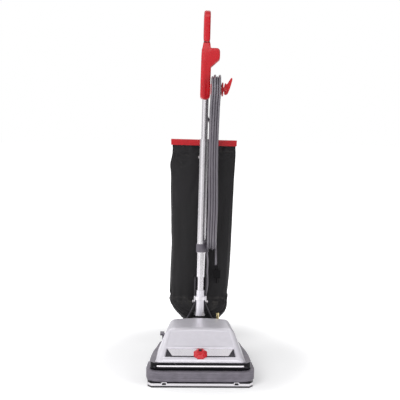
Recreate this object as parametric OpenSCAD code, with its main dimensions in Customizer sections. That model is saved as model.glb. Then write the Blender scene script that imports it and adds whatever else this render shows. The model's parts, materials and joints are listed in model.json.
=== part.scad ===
// Upright vacuum cleaner for commercial cleaning: die-cast nozzle base with a silver hood,
// steel tube handle with a red switch grip, black cloth dust bag and a hanked mains cord.
// X runs across the machine, -Y is the nozzle side, Z is up and the floor is z = 0.

/* [Base] */
// Width across the bumper
base_w = 350; // [344:1:356]
// Distance from the nozzle front to the middle of the machine
nose_to_middle = 267; // [262:1:272]
// Distance from the nozzle front to the back wall of the housing
housing_back = 266; // [264:1:268]
// Height of the deck that the hood stands on
deck_z = 76; // [75:0.5:78]
// Height of the underside of the pan
pan_z = 6; // [5.5:0.1:6.5]
// Wall of the housing, pan and deck
housing_wall = 3; // [2.6:0.1:3.2]
// Thickness of the bumper
bumper_t = 12; // [11:0.5:13]
// Height of the bumper's lower edge
bumper_low = 19; // [18.5:0.5:21]
// Height of the bumper band
bumper_h = 32.5; // [32:0.5:33]
// Distance that the bumper reaches back along each side
bumper_back = 110; // [100:1:120]
// Thickness of the black front panel
panel_t = 3; // [2.5:0.5:4]

/* [Nozzle] */
// Distance from the bumper's side to the end of the nozzle mouth
mouth_side = 22.5; // [21:0.5:26]
// Front-to-back width of the nozzle mouth
mouth_d = 30; // [26:1:34]
// Distance from the nozzle front to the brush axis
roll_n = 46; // [45.5:0.25:46.5]
// Height of the brush axis
roll_z = 30; // [29.5:0.25:30.5]
// Inner radius of the brush chamber
chamber_r = 30; // [29:0.5:30]
// Radius of the brush roll's core
roll_r = 19; // [18:0.5:19.5]
// Radius at the bristle tips
bristle_r = 27.6; // [26:0.2:28]
// Depth of the belt groove in the roll
groove_depth = 2; // [1.5:0.5:3]
// Thickness of the sole plate
sole_t = 2; // [1.6:0.2:2]
// Height of the sole plate's rolled front lip
lip_h = 15; // [12:0.5:16]

/* [Hood] */
// Distance from the housing's side to the hood's front corner
hood_side = 22.5; // [20:0.5:25]
// Distance that each side of the hood draws in from its front edge to the ridge
hood_ridge_in = 27.5; // [25:0.5:30]
// Distance that each side of the hood draws in from the ridge to the back
hood_back_in = 14; // [12:0.5:16]
// Height of the hood's front edge
hood_front_z = 83; // [82:0.5:85]
// Height of the hood's ridge
ridge_z = 150; // [147:1:153]
// Distance from the nozzle front to the ridge
ridge_n = 140; // [137:1:143]
// Draft that the hood's sides widen by from top to deck at its front and back
hood_draft = 6; // [4:1:7]
// Flare that the hood's sides widen by from top to deck at its ridge
hood_flare = 27; // [25:0.5:29]
// Wall of the hood
hood_t = 3; // [2.5:0.25:3.25]
// Distance from the hood's front corner to the name panel
name_side = 27.5; // [24.5:0.5:35.5]

/* [Height knob] */
// Diameter of the height knob
knob_d = 44; // [40:1:46]
// Height of the height knob
knob_h = 16; // [13:1:18]
// Diameter of the knob's stem
stem_d = 8; // [7:0.5:9]
// Distance up the hood's slope from its front edge to the knob
knob_up = 27.5; // [27:0.1:28]
// Radius of the eccentric cam
cam_r = 10; // [9.5:0.5:10]
// Throw of the cam from the stem's axis
cam_throw = 5; // [4.5:0.5:5]

/* [Motor] */
// Sideways place of the motor's axis
motor_x = -45; // [-46:0.5:-44]
// Height of the motor's axis
motor_z = 64; // [63.5:0.5:66]
// Radius of the motor can
motor_r = 47; // [46:0.5:48]
// Length of the motor can
motor_len = 88; // [86:1:92]
// Radius of the fan
fan_r = 46; // [43:0.5:48]
// Outer radius of the fan housing
fan_case_r = 53; // [52:0.5:54]
// Front-to-back depth of the fan housing
fan_case_d = 36; // [34:1:37]
// Distance from the nozzle front to the fan housing
fan_n = 112; // [111:0.5:113]
// Radius of the motor's shaft
shaft_r = 5; // [4.5:0.25:5.5]
// Inner radius of the air duct in front of the fan
inlet_r = 20; // [18:0.5:20.5]

/* [Wheels] */
// Radius of the rear wheels
rear_r = 32; // [30:0.5:33]
// Width of the rear wheels
rear_w = 24; // [20:1:26]
// Radius of the front wheels
front_r = 15; // [14:0.5:15.5]
// Width of the front wheels
front_w = 16; // [12:1:18]
// Radius of the rear axle
axle_r = 4; // [3.5:0.25:4.5]
// Distance from the nozzle front to the rear axle
axle_n = 316; // [314:1:318]

/* [Handle] */
// Distance from the nozzle front to the handle's pivot
pivot_n = 300; // [299:0.5:301]
// Height of the handle's pivot
pivot_z = 85; // [84:0.5:86]
// Angle that the upright handle leans back
lean = 8; // [7:0.5:9]
// Angle that the tube leans to the side
side = 1; // [0:0.25:1.5]
// Radius of the pivot bolts
pivot_r = 5; // [4.5:0.25:5.5]
// Half the distance between the bail's eyes
bail_half = 63; // [63:0.25:64]
// Thickness of the bail strap
strap_t = 3.5; // [3:0.25:4]
// Outer diameter of the lower tube
lower_d = 28.6; // [28:0.1:29]
// Outer diameter of the middle tube
middle_d = 31.8; // [31.4:0.1:32.2]
// Outer diameter of the upper tube
upper_d = 22.2; // [22:0.1:23]
// Height along the handle of the socket's foot
socket_w = 63; // [62.5:0.25:65]
// Height along the handle of the socket's rim
socket_top = 151; // [146:1:156]
// Height along the handle where the middle tube starts
middle_w = 281; // [276:1:282]
// Height along the handle of the seam below the tube's upper bolt
seam_w = 581; // [576:1:586]
// Height of the upper tube's bolt above that seam
bolt_up = 29; // [27:0.5:31]
// Height of the ferrule above the seam
ferrule_h = 92; // [89:1:97]
// Height along the handle of the switch housing's lower edge
grip_w = 809; // [806:1:812]
// Height of the switch housing's stem below its wide head
stem_h = 110; // [107:1:112]
// Height of the switch housing
housing_h = 194; // [192:1:196]
// Height of the grip above the switch housing's foot for it
grip_h = 112; // [107:1:114]
// Thickness of the grip across the machine
grip_t = 22.7; // [20:0.5:25]
// Wall of the switch housing
shell_t = 2.5; // [2:0.25:3]

/* [Bag] */
// Width of the bag under its clip
bag_top_w = 222; // [214:1:226]
// Width of the bag near its foot
bag_low_w = 198; // [192:1:204]
// Depth of the filled bag
bag_depth = 106; // [98:1:112]
// Distance from the tube's axis back to the bag's front
bag_u = 39; // [38.5:0.25:42]
// Cloth thickness of the bag
bag_t = 2; // [1.6:0.2:2.4]
// Height of the bag clip's top above the upper tube's bolt
clip_up = 62; // [60:1:66]
// Height of the bag clip
clip_h = 21; // [18:1:24]

/* [Cord] */
// Diameter of the mains cord
cord_d = 7.7; // [7.3:0.1:7.8]
// Distance between neighbouring loops of the hank
loop_pitch = 8.7; // [8.6:0.1:9]
// Distance between neighbouring layers of the hank
layer_pitch = 8.3; // [8.2:0.1:8.5]

/* [Hidden] */

// Clearances: a seat between two still pieces, a running fit, and a gap beside a moving piece
seat = 0.3;
run = 0.06;
free = 1;
// Stands in for without end in a cut
through = 400;
$fn = 48;

// Colours
grey = "#7a7580";
red = "#d21f2c";
black = "#26242a";
silver = "#d9d6dc";
steel = "#c2bdc4";
rubber = "#3a383c";
cord_grey = "#77727a";
brass = "#c9ba8c";

// Outline values of the housing
housing_half = base_w / 2 - bumper_t;
flat_half = housing_half - 28;
front_n = bumper_t;
step_n = front_n + 8;
shoulder_n = 230;
crest_n = 246;
crest_t = 8;
mid_n = 140;
panel_z = bumper_low + bumper_h + seat;
panel_front_n = step_n - panel_t - seat;
crest_z = 100;
corner_run = 17;
corner_rise = 5;
corner_turn = atan(corner_rise / corner_run);
screw_x = housing_half - 16;
screw_z = 62;
trough_r = chamber_r + housing_wall;
trough_half = housing_half - 9;
roll_half = trough_half - 10;
mouth_w = base_w - 2 * mouth_side;

// Hood values
hood_front_w = 2 * (housing_half - hood_side);
hood_ridge_w = hood_front_w - 2 * hood_ridge_in;
hood_back_w = hood_ridge_w - 2 * hood_back_in;
hood_screw_x = hood_back_w / 2 - 11;
hood_flank_in = 7.5;
hood_screw_z = 90;
name_w = hood_front_w - 2 * name_side;
hood_front_n = step_n;
hood_back_n = housing_back - 4;
slope = atan((ridge_z - hood_front_z) / (ridge_n - hood_front_n));
hood_foot_z = deck_z + seat;
recess_low = 17.3;
recess_high = 55.5;
recess_depth = 2;

// Cam, lever and carriage
cam_low = -27.5;
cam_t = 5;
cam_gap = 1.3;
lever_t = 4;
lever_front = knob_up + cam_r - cam_throw + cam_gap;
rod_r = 4;
rod_down = -79;
rod_up = lever_front + lever_t / 2;
rod_n = hood_front_n + rod_up * cos(slope) - rod_down * sin(slope);
rod_z = hood_front_z + rod_up * sin(slope) + rod_down * cos(slope);
arm_reach = 40;
front_axle_r = 3;
front_axle_n = rod_n + arm_reach;
front_axle_z = front_r + 1;
arm_x = housing_half - 51;
arm_t = 4;
lug_x = housing_half - 19;
lug_t = 6;

// Motor values
motor_n = fan_n + fan_case_d;
case_t = 3;
bearing_r = 11;
bearing_t = 7;
pulley_n = 74;
pulley_r = 6.5;
pulley_w = 11;
groove_w = 14;
belt_t = 1.6;
belt_w = 8;
rotor_r = 29.3;
stator_in = 30;
stack_n = motor_n + 18;
stack_len = 40;
comm_n = stack_n + stack_len + 4;
comm_len = 14;
comm_r = 14;

// Rear values
ear_x = 74;
ear_t = 8;
wheel_x = ear_x + ear_t + free + rear_w / 2 + 4;
outlet_tilt = 62;
outlet_r = 30;
neck_r = 61.5;
bag_cut = 62.6;
pedal_n = 272;
pedal_z = 62;
pedal_x = 32 - housing_half;
pedal_lug_x = pedal_x + 13;
pedal_lug_t = 6;
post_x = 62;
post_n = 278;

// Handle values
tube_r = middle_d / 2;
eye_r = 14;
eye_t = 8;
housing_top = grip_w + housing_h;
grip_top = housing_top + grip_h;
upper_w = seam_w + ferrule_h;
bolt_low_w = 111;
bolt_high_w = seam_w + bolt_up;
clip_top = bolt_high_w + clip_up;
strap_w = 24;
lead_r = 3.8;
saddle_x0 = 16;
hank_x = 25;
hank_u = -18;
hank_top = grip_w + 33;
hank_low = 343;
loop_in = 23.2;
loops = 3;
layers = 4;
loop_out = loop_in + loops * loop_pitch;
flange_x = hank_x + (layers - 1) * layer_pitch + cord_d / 2 + 0.8;
saddle_r = 19;
tail_w = 420;
plug_w = 236;
relief_x = 5;
relief_u = 19;
relief_len = 36;

gate_low = [-19, 38];
gate_high = [38, 98];

// Place a child given as (x, distance back from the nozzle, height)
module from_nose() { translate([0, -nose_to_middle, 0]) children(); }
// Place a child on the hood's slope: x across, y up the slope, z outward
module on_slope() {
    from_nose() translate([0, hood_front_n, hood_front_z]) rotate([slope, 0, 0]) children();
}
// Place a child in the upright handle: x across, y back, z along the handle from the pivot
module in_handle() { from_nose() translate([0, pivot_n, pivot_z]) rotate([-lean, 0, 0]) children(); }
// Place a child on the handle's tube, which also leans to the side
module on_tube() { in_handle() rotate([0, side, 0]) children(); }
// Place a child on the exhaust outlet: z runs out of the outlet from the pivot's axis
module on_outlet() { from_nose() translate([0, pivot_n, pivot_z]) rotate([-outlet_tilt, 0, 0]) children(); }
module both_sides() { children(); mirror([1, 0, 0]) children(); }
module block(low, high) { translate(low) cube(high - low); }
// Cylinder along X between two places
module across(x0, x1, r) { translate([min(x0, x1), 0, 0]) rotate([0, 90, 0]) cylinder(h = abs(x1 - x0), r = r); }
// Cylinder towards the back between two places
module backward(n0, n1, r) { translate([0, n0, 0]) rotate([-90, 0, 0]) cylinder(h = n1 - n0, r = r); }

// ---------------------------------------------------------------- housing
// Half outline of the grey housing seen from above, from the front corner to the back corner
function half_plan(front) = [
    [flat_half, front], [flat_half + corner_run, front + corner_rise], [housing_half - 2, front + 16],
    [housing_half, 47], [housing_half - 4, 97], [housing_half - 10, mid_n],
    [housing_half - 19, 180], [housing_half - 28, shoulder_n], [housing_half - 41, housing_back - 11],
    [housing_half - 54, housing_back]];
function mirrored(half) = concat(half, [for (i = [len(half) - 1:-1:0]) [-half[i][0], half[i][1]]]);
module plan(front, inset = 0) { offset(delta = -inset) polygon(mirrored(half_plan(front))); }

// Half outline of the hood at its foot, drawn in by a distance
function hood_half(n) = n < ridge_n
    ? hood_front_w / 2 + (hood_ridge_w - hood_front_w) / 2 * (n - hood_front_n) / (ridge_n - hood_front_n)
    : hood_ridge_w / 2 + (hood_back_w - hood_ridge_w) / 2 * (n - ridge_n) / (hood_back_n - ridge_n);
function hood_foot_half(n) = hood_half(n) + lookup(n, [[hood_front_n, hood_draft], [ridge_n, hood_flare],
    [shoulder_n, hood_flare - hood_flank_in], [hood_back_n, hood_draft]]);
module hood_plan(grow, front = hood_front_n) {
    offset(delta = grow) polygon(mirrored([for (n = [front, ridge_n, shoulder_n, hood_back_n])
        [hood_foot_half(n), n]]));
}

// Prism across the machine with a round top and straight walls down to a height, which stays
// inside the housing's outline
module brush_trough(r, low, half, inset) {
    intersection() {
        rotate([90, 0, 90]) translate([0, 0, -half]) linear_extrude(2 * half) polygon(concat(
            [for (a = [0:10:180]) [roll_n + r * cos(a), roll_z + r * sin(a)]],
            [[roll_n - r, low], [roll_n + r, low]]));
        housing_body(-2, inset);
    }
}
// Stepped outline of the housing up to the deck
module housing_body(low, inset) {
    translate([0, 0, low]) linear_extrude(panel_z - inset - low) plan(front_n, inset);
    translate([0, 0, low]) linear_extrude(deck_z - low) plan(step_n, inset);
}

module base_housing() {
    color(grey) from_nose() difference() {
        union() {
            difference() {
                union() {
                    housing_body(pan_z, 0);
                    // Raised crest round the hood's back corners
                    translate([0, 0, deck_z - 1]) linear_extrude(crest_z - deck_z + 1) intersection() {
                        plan(step_n);
                        hood_plan(crest_t);
                        translate([-through / 2, crest_n]) square([through, through]);
                    }
                }
                // Inside of the housing
                translate([0, 0, pan_z + housing_wall]) linear_extrude(deck_z - pan_z - 2 * housing_wall)
                    plan(step_n, housing_wall);
                // Hood's footprint through the deck and the crest
                translate([0, 0, deck_z - housing_wall - 1]) linear_extrude(through)
                    hood_plan(-hood_t - 3, front = hood_front_n + 22);
                translate([0, 0, deck_z]) linear_extrude(through) hood_plan(seat);
                // Nozzle front is open underneath down to the sole plate
                block([-through, -1, 0], [through, roll_n + trough_r, 16]);
                // Openings in the pan for the front wheels
                both_sides() block([arm_x - 4, fan_n - 14, 0],
                    [arm_x + arm_t + front_w + 12, front_axle_n + front_r + 12, pan_z + housing_wall + 1]);
            }
            // Brush chamber and its end walls
            brush_trough(trough_r, sole_t + seat, trough_half + housing_wall, 0);
            // Air duct from the brush chamber to the fan
            translate([motor_x, 0, motor_z]) backward(roll_n + 4, fan_n - seat, inlet_r + housing_wall);
            // Lugs for the carriage rod
            both_sides() block([lug_x - lug_t, rod_n - 8, pan_z + 1],
                [lug_x, rod_n + 8, rod_z + rod_r + 3]);
            // Cradles under the motor can
            for (n = [motor_n + 8, motor_n + motor_len - 16])
                block([motor_x - 34, n, pan_z + 1], [motor_x + 34, n + 6, motor_z - motor_r * 0.6]);
            // Latch bosses, pedal lug and rear ears
            both_sides() block([ear_x, housing_back - 3, 12], [ear_x + ear_t, axle_n - 6, 48]);
            both_sides() block([ear_x, housing_back - 3, 47], [ear_x + ear_t, pivot_n, 99]);
            both_sides() translate([ear_x, axle_n, rear_r]) rotate([0, 90, 0]) cylinder(h = ear_t, r = 13);
            both_sides() translate([ear_x, pivot_n, pivot_z]) rotate([0, 90, 0]) cylinder(h = ear_t, r = 16);
            block([-ear_x - 1, housing_back - 3, 12], [ear_x + 1, housing_back + 24, 16]);
            block([pedal_lug_x, housing_back - 3, pedal_z - 8],
                [pedal_lug_x + pedal_lug_t, pedal_n + 8, pedal_z + 8]);
            block([post_x - 10, housing_back - 3, 92], [post_x + 10, post_n + 8, crest_z - 2]);
        }
        // Inside of the brush chamber and the duct
        brush_trough(chamber_r, -1, trough_half, housing_wall);
        translate([motor_x, 0, motor_z]) backward(roll_n + 7, fan_n, inlet_r);
        translate([0, rod_n, rod_z]) across(-lug_x - 0.5, lug_x + 0.5, rod_r + run);
        translate([0, axle_n, rear_r]) both_sides() across(ear_x - 4, ear_x + ear_t + 4, axle_r + run);
        translate([0, pivot_n, pivot_z]) both_sides() across(ear_x - 4, ear_x + ear_t + 4, pivot_r + run);
        translate([0, pedal_n, pedal_z]) across(pedal_lug_x - 2, -70, 4 + run);
        // Seats of the motor can, exhaust duct, latches and screws
        translate([motor_x, 0, motor_z]) backward(motor_n + 2, motor_n + motor_len + 4, motor_r + seat);
        block([gate_low[0], housing_back - 20, gate_low[1]], [gate_high[0], housing_back + 6, through]);
        both_sides() translate([70, latch_n, 0]) cylinder(h = 30, r = 3 + run);
        both_sides() translate([hood_screw_x, 0, hood_screw_z]) backward(hood_back_n - 6, housing_back + 2, 2.5);
        both_sides() on_corner() backward(1, 12, 2);
    }
}

module bumper() {
    color(grey) from_nose() translate([0, 0, bumper_low]) linear_extrude(bumper_h) difference() {
        intersection() {
            plan(front_n, -bumper_t);
            translate([-through / 2, -1]) square([through, bumper_back + 1]);
        }
        plan(front_n, -seat);
    }
}

// Place a child on the front panel's slanted corner, where a screw goes in square to the face
module on_corner() {
    translate([screw_x, panel_front_n + (screw_x - flat_half) * tan(corner_turn), screw_z])
        rotate([0, 0, corner_turn]) children();
}
module front_panel() {
    color(black) from_nose() difference() {
        translate([0, 0, panel_z]) linear_extrude(deck_z - panel_z) difference() {
            intersection() {
                plan(panel_front_n);
                translate([-through / 2, 0]) square([through, step_n + 14]);
            }
            plan(step_n, -seat);
        }
        both_sides() on_corner() backward(-1, 6, 2 + run);
    }
}

trim_z = 66;
trim_h = 6.5;
trim_t = 1.6;
trim_half = flat_half + 6;
module trim_strip() {
    color(steel) from_nose() translate([0, 0, trim_z - trim_h / 2]) linear_extrude(trim_h) intersection() {
        difference() {
            plan(panel_front_n - trim_t);
            plan(panel_front_n);
        }
        translate([-trim_half, 0]) square([2 * trim_half, 40]);
    }
}

module panel_screws() {
    color(steel) from_nose() both_sides() on_corner() {
        backward(-0.5, 9, 1.9);
        backward(-2.4, 0, 4.2);
    }
}

sole_end = roll_n + trough_r + seat + 2;
sole_back = 94;
latch_n = sole_back + 6;
joggle = 3.6;
margin_half = housing_half - 13;
clip_x = housing_half - 47;
// Outline of the sole plate: its front edge is straight, and it spreads past the housing
module sole_outline(back) {
    intersection() {
        plan(4, -8);
        translate([-through / 2, 2]) square([through, back - 2]);
    }
}
module sole_plate() {
    bay = mouth_w / 4;
    color(steel) from_nose() {
        linear_extrude(sole_t) difference() {
            sole_outline(sole_end);
            for (i = [0:3]) translate([-mouth_w / 2 + i * bay + 2.5, roll_n - mouth_d / 2])
                square([bay - 5, mouth_d]);
        }
        // Rolled front lip
        linear_extrude(lip_h) difference() {
            sole_outline(roll_n);
            offset(delta = -2) sole_outline(sole_end);
        }
        // Joggled back margin that the latches hold
        block([-margin_half, sole_end - 2, 0], [margin_half, sole_end, joggle + sole_t]);
        block([-margin_half, sole_end - 2, joggle], [margin_half, sole_back, joggle + sole_t]);
    }
}

module sole_clips() {
    color(steel) from_nose() both_sides() translate([clip_x, 0, 0])
        translate([0, 1.7, 6.5]) rotate([90, 0, 0]) linear_extrude(1.4)
            polygon([[-11, 0], [11, 0], [8, 12], [-8, 12]]);
}

module sole_latch(x) {
    color(steel) from_nose() translate([x, latch_n, 0]) {
        translate([0, 0, 0.8]) cylinder(h = 2.4, r = 8);
        translate([0, 0, 0.8]) cylinder(h = pan_z + housing_wall - 0.8 + 2, r = 3);
        translate([-5, -16, 0.8]) cube([10, 16, 2.4]);
    }
}
module sole_latch_left() { sole_latch(-70); }
module sole_latch_right() { sole_latch(70); }

// ---------------------------------------------------------------- hood
// Slice of the hood across the machine at one distance back
slice_t = 0.4;
module hood_slice(n, z, in) {
    half = hood_half(n) - in;
    foot = hood_foot_half(n) - in;
    at = n + (n <= hood_front_n ? in + slice_t : 0) - (n >= hood_back_n ? in : 0);
    translate([0, at, 0]) rotate([90, 0, 0]) linear_extrude(slice_t) polygon([
        [-foot, hood_foot_z - (in > 0 ? 2 : 0)], [foot, hood_foot_z - (in > 0 ? 2 : 0)],
        [half + 2, z - in - 6], [half - 4, z - in], [-half + 4, z - in], [-half - 2, z - in - 6]]);
}
module hood_form(in) {
    hull() {
        hood_slice(hood_front_n, hood_front_z, in);
        hood_slice(ridge_n, ridge_z, in);
    }
    for (ends = [[ridge_n, shoulder_n], [shoulder_n, hood_back_n]]) hull()
        for (n = ends) hood_slice(n, ridge_z, in);
}
module hood() {
    color(silver) difference() {
        from_nose() difference() {
            hood_form(0);
            hood_form(hood_t);
        }
        // Recess that holds the name panel, with slanted ends
        on_slope() translate([0, 0, -recess_depth]) linear_extrude(10) polygon([
            [-name_w / 2 - 1.5, recess_low], [name_w / 2 + 1.5, recess_low],
            [name_w / 2, recess_high], [-name_w / 2, recess_high]]);
        on_slope() translate([0, knob_up, -20]) cylinder(h = 30, r = stem_d / 2 + run);
        from_nose() both_sides() translate([hood_screw_x, 0, hood_screw_z]) backward(hood_back_n - 6, hood_back_n + 2, 2.2);
        // Notch over the exhaust duct
        from_nose() block([gate_low[0], hood_back_n - 8, 0], [gate_high[0], hood_back_n + 1, gate_high[1]]);
    }
}

module name_panel() {
    color(steel) difference() {
        on_slope() translate([0, 0, -recess_depth]) linear_extrude(1.2) polygon([
            [-name_w / 2 + 1, recess_low + 1], [name_w / 2 - 1, recess_low + 1],
            [name_w / 2 - 3, recess_high - 1], [-name_w / 2 + 3, recess_high - 1]]);
        on_slope() translate([0, knob_up, -5]) cylinder(h = 10, r = stem_d / 2 + 2);
    }
}

module hood_screws() {
    color(steel) from_nose() both_sides() translate([hood_screw_x, 0, hood_screw_z]) {
        backward(hood_back_n - 5, housing_back + 1, 2.1);
        backward(housing_back + 0.3, housing_back + 3, 4);
    }
}

knob_z = 0.6;
knob_base = 5;
knob_notch = [12, 7, 3];
module height_knob() {
    color(red) on_slope() translate([0, knob_up, knob_z]) difference() {
        rotate(22.5) union() {
            cylinder(h = knob_base, d = knob_d, $fn = 8);
            translate([0, 0, knob_base - 1])
                cylinder(h = knob_h - knob_base + 1, r1 = knob_d / 2 - 3, r2 = knob_d * 0.3, $fn = 8);
        }
        // Seat of the cam's stem
        translate([0, 0, -1]) cylinder(h = 9, r = stem_d / 2);
        // Pointer notch in the edge of the knob's face
        translate([-knob_notch[0] / 2, knob_d * 0.3 - knob_notch[1] / 2, knob_h - knob_notch[2]])
            cube([knob_notch[0], 2 * knob_notch[1], knob_notch[2] + 1]);
    }
}
module height_cam() {
    color(steel) on_slope() translate([0, knob_up, 0]) {
        translate([0, 0, cam_low]) cylinder(h = knob_z + 7.9 - cam_low, d = stem_d);
        translate([0, -cam_throw, cam_low]) cylinder(h = cam_t, r = cam_r);
    }
}

// ---------------------------------------------------------------- front wheels
module wheel_carriage() {
    color(steel) {
        from_nose() {
            translate([0, rod_n, rod_z]) across(-lug_x + 1, lug_x - 1, rod_r);
            both_sides() {
                hull() {
                    translate([0, rod_n, rod_z]) across(arm_x - arm_t, arm_x, rod_r + 3);
                    translate([0, front_axle_n, front_axle_z]) across(arm_x - arm_t, arm_x, front_axle_r + 3);
                }
                translate([0, front_axle_n, front_axle_z])
                    across(arm_x - 1, arm_x + free + front_w + 4, front_axle_r);
            }
        }
        // Lever that the cam pushes
        on_slope() block([-8, lever_front, rod_down], [8, lever_front + lever_t, cam_low + cam_t + 2]);
    }
}
module front_wheel(s) {
    color(rubber) from_nose() translate([s * (arm_x + free + front_w / 2), front_axle_n, front_axle_z])
        rotate([0, 90, 0]) difference() {
            rotate_extrude() polygon([[0, -front_w / 2], [front_r - 2, -front_w / 2],
                [front_r, -front_w / 2 + 2], [front_r, front_w / 2 - 2], [front_r - 2, front_w / 2],
                [0, front_w / 2]]);
            cylinder(h = front_w + 2, r = front_axle_r + run, center = true);
        }
}
module front_wheel_left() { front_wheel(-1); }
module front_wheel_right() { front_wheel(1); }

// ---------------------------------------------------------------- motor
module fan_housing() {
    color(black) from_nose() difference() {
        union() {
            translate([motor_x, 0, motor_z]) backward(fan_n, motor_n, fan_case_r);
            block([motor_x, fan_n, motor_z - fan_case_r], [duct_x0, motor_n, motor_z - fan_case_r + outlet_h]);
        }
        translate([motor_x, 0, motor_z]) backward(fan_n + case_t, motor_n - case_t, fan_case_r - case_t);
        block([motor_x, fan_n + case_t, motor_z - fan_case_r + case_t],
            [duct_x0 + 1, motor_n - case_t, motor_z - fan_case_r + outlet_h - case_t]);
        translate([motor_x, 0, motor_z]) backward(fan_n - 1, fan_n + 5, inlet_r);
        translate([motor_x, 0, motor_z]) backward(motor_n - 5, motor_n + 1, bearing_r + 4);
    }
}
duct_x0 = 20;
duct_t = 2.5;
outlet_h = 40;

can_in = motor_r - case_t;
end_t = 4;
bearing_places = [motor_n + end_t, motor_n + motor_len - end_t - bearing_t];
module motor_housing() {
    color("#8f8c94") from_nose() translate([motor_x, 0, motor_z]) difference() {
        union() {
            difference() {
                backward(motor_n, motor_n + motor_len, motor_r);
                backward(motor_n + end_t, motor_n + motor_len - end_t, can_in);
            }
            // Bosses round the bearings
            for (n = bearing_places) backward(n - 1, n + bearing_t + 1, bearing_r + 3);
        }
        for (n = [bearing_places[0], bearing_places[1] - 2])
            backward(n, n + bearing_t + 2, bearing_r + run);
        backward(motor_n - 1, motor_n + motor_len + 1, shaft_r + 2);
        // Air holes in the back wall
        for (a = [30:60:330]) rotate([0, a, 0]) translate([30, motor_n + motor_len - 5, 0])
            rotate([-90, 0, 0]) cylinder(h = 6, r = 6);
    }
}
module stator() {
    color("#6f6468") from_nose() translate([motor_x, 0, motor_z]) difference() {
        backward(stack_n, stack_n + stack_len, can_in - 0.1);
        backward(stack_n - 1, stack_n + stack_len + 1, stator_in);
        for (a = [45:90:315]) rotate([0, a, 0]) block([stator_in - 2, stack_n - 1, -5], [stator_in + 8, stack_n + stack_len + 1, 5]);
    }
}
module armature() {
    color(steel) from_nose() translate([motor_x, 0, motor_z]) {
        backward(pulley_n - pulley_w / 2 - 2, motor_n + motor_len + 2, shaft_r);
        backward(stack_n, stack_n + stack_len, rotor_r);
        // Belt pulley turned on the shaft's front end
        backward(pulley_n - pulley_w / 2, pulley_n + pulley_w / 2, pulley_r);
        backward(pulley_n + pulley_w / 2, pulley_n + pulley_w / 2 + 1.5, pulley_r + 3);
    }
}
module commutator() {
    color("#b87a4a") from_nose() translate([motor_x, 0, motor_z]) difference() {
        backward(comm_n, comm_n + comm_len, comm_r);
        backward(comm_n - 1, comm_n + comm_len + 1, shaft_r + 0.02);
    }
}
module fan_impeller() {
    color(silver) from_nose() translate([motor_x, 0, motor_z]) difference() {
        union() {
            backward(motor_n - case_t - 9, motor_n - case_t - 7, fan_r);
            backward(motor_n - case_t - 22, motor_n - case_t - 4, 10);
            for (a = [0:45:315]) rotate([0, a, 0]) translate([9, motor_n - case_t - 21, 0])
                rotate([0, 18, 0]) cube([fan_r - 13, 13, 2]);
        }
        backward(fan_n, motor_n, shaft_r + 0.02);
    }
}
module motor_bearings() {
    color(steel) from_nose() translate([motor_x, 0, motor_z])
        for (n = bearing_places) difference() {
            backward(n, n + bearing_t, bearing_r);
            backward(n - 1, n + bearing_t + 1, shaft_r + run);
        }
}
module carbon_brushes() {
    color(black) from_nose() translate([motor_x, 0, motor_z]) for (s = [-1, 1])
        scale([s, 1, 1]) block([comm_r + seat, comm_n + 3, -4], [can_in - 1.4, comm_n + 11, 4]);
}

// Rings of the quarter-twist belt: centre, width direction and thickness direction
belt_pr = pulley_r + 2 * seat + belt_t / 2;
belt_rr = roll_r - groove_depth + seat + belt_t / 2;
belt_steps = 8;
function belt_ring(c, w, t) = [for (k = [[-1, -1], [1, -1], [1, 1], [-1, 1]])
    c + w * k[0] * belt_w / 2 + t * k[1] * belt_t / 2];
function pulley_ring(a) = belt_ring([belt_pr * cos(a), pulley_n - roll_n, motor_z - roll_z + belt_pr * sin(a)],
    [0, 1, 0], [cos(a), 0, sin(a)]);
function roll_ring(a) = belt_ring([0, belt_rr * cos(a), belt_rr * sin(a)], [-1, 0, 0], [0, cos(a), sin(a)]);
function mix_rings(a, b, f) = [for (i = [0:3]) a[i] * (1 - f) + b[i] * f];
module drive_belt() {
    over = [for (i = [0:belt_steps]) pulley_ring(180 * i / belt_steps)];
    // The belt leaves the roll on the two tangents towards the pulley
    away = [pulley_n - roll_n, motor_z - roll_z];
    aim = atan(away[1] / away[0]);
    spread = acos(belt_rr / norm(away));
    wrap = 360 - 2 * spread;
    under = [for (i = [0:belt_steps * 1.5]) roll_ring(aim + spread + wrap * i / (belt_steps * 1.5))];
    down = [for (i = [1:5]) mix_rings(over[belt_steps], under[0], i / 6)];
    up = [for (i = [1:5]) mix_rings(under[len(under) - 1], over[0], i / 6)];
    rings = concat(over, down, under, up);
    count = len(rings);
    color(rubber) from_nose() translate([motor_x, roll_n, roll_z]) polyhedron(
        points = [for (r = rings) each r],
        faces = [for (i = [0:count - 1]) for (k = [0:3]) for (f = [0, 1]) let(
            a = 4 * i + k, b = 4 * i + (k + 1) % 4, c = 4 * ((i + 1) % count) + (k + 1) % 4,
            d = 4 * ((i + 1) % count) + k) f == 0 ? [a, b, c] : [a, c, d]]);
}

module brush_roll() {
    color("#8a5a3a") from_nose() translate([0, roll_n, roll_z]) difference() {
        union() {
            across(-roll_half, roll_half, roll_r);
            across(-roll_half - 7, roll_half + 7, 5);
        }
        difference() {
            across(motor_x - groove_w / 2, motor_x + groove_w / 2, roll_r + 1);
            across(motor_x - groove_w, motor_x + groove_w, roll_r - groove_depth);
        }
    }
}
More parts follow.
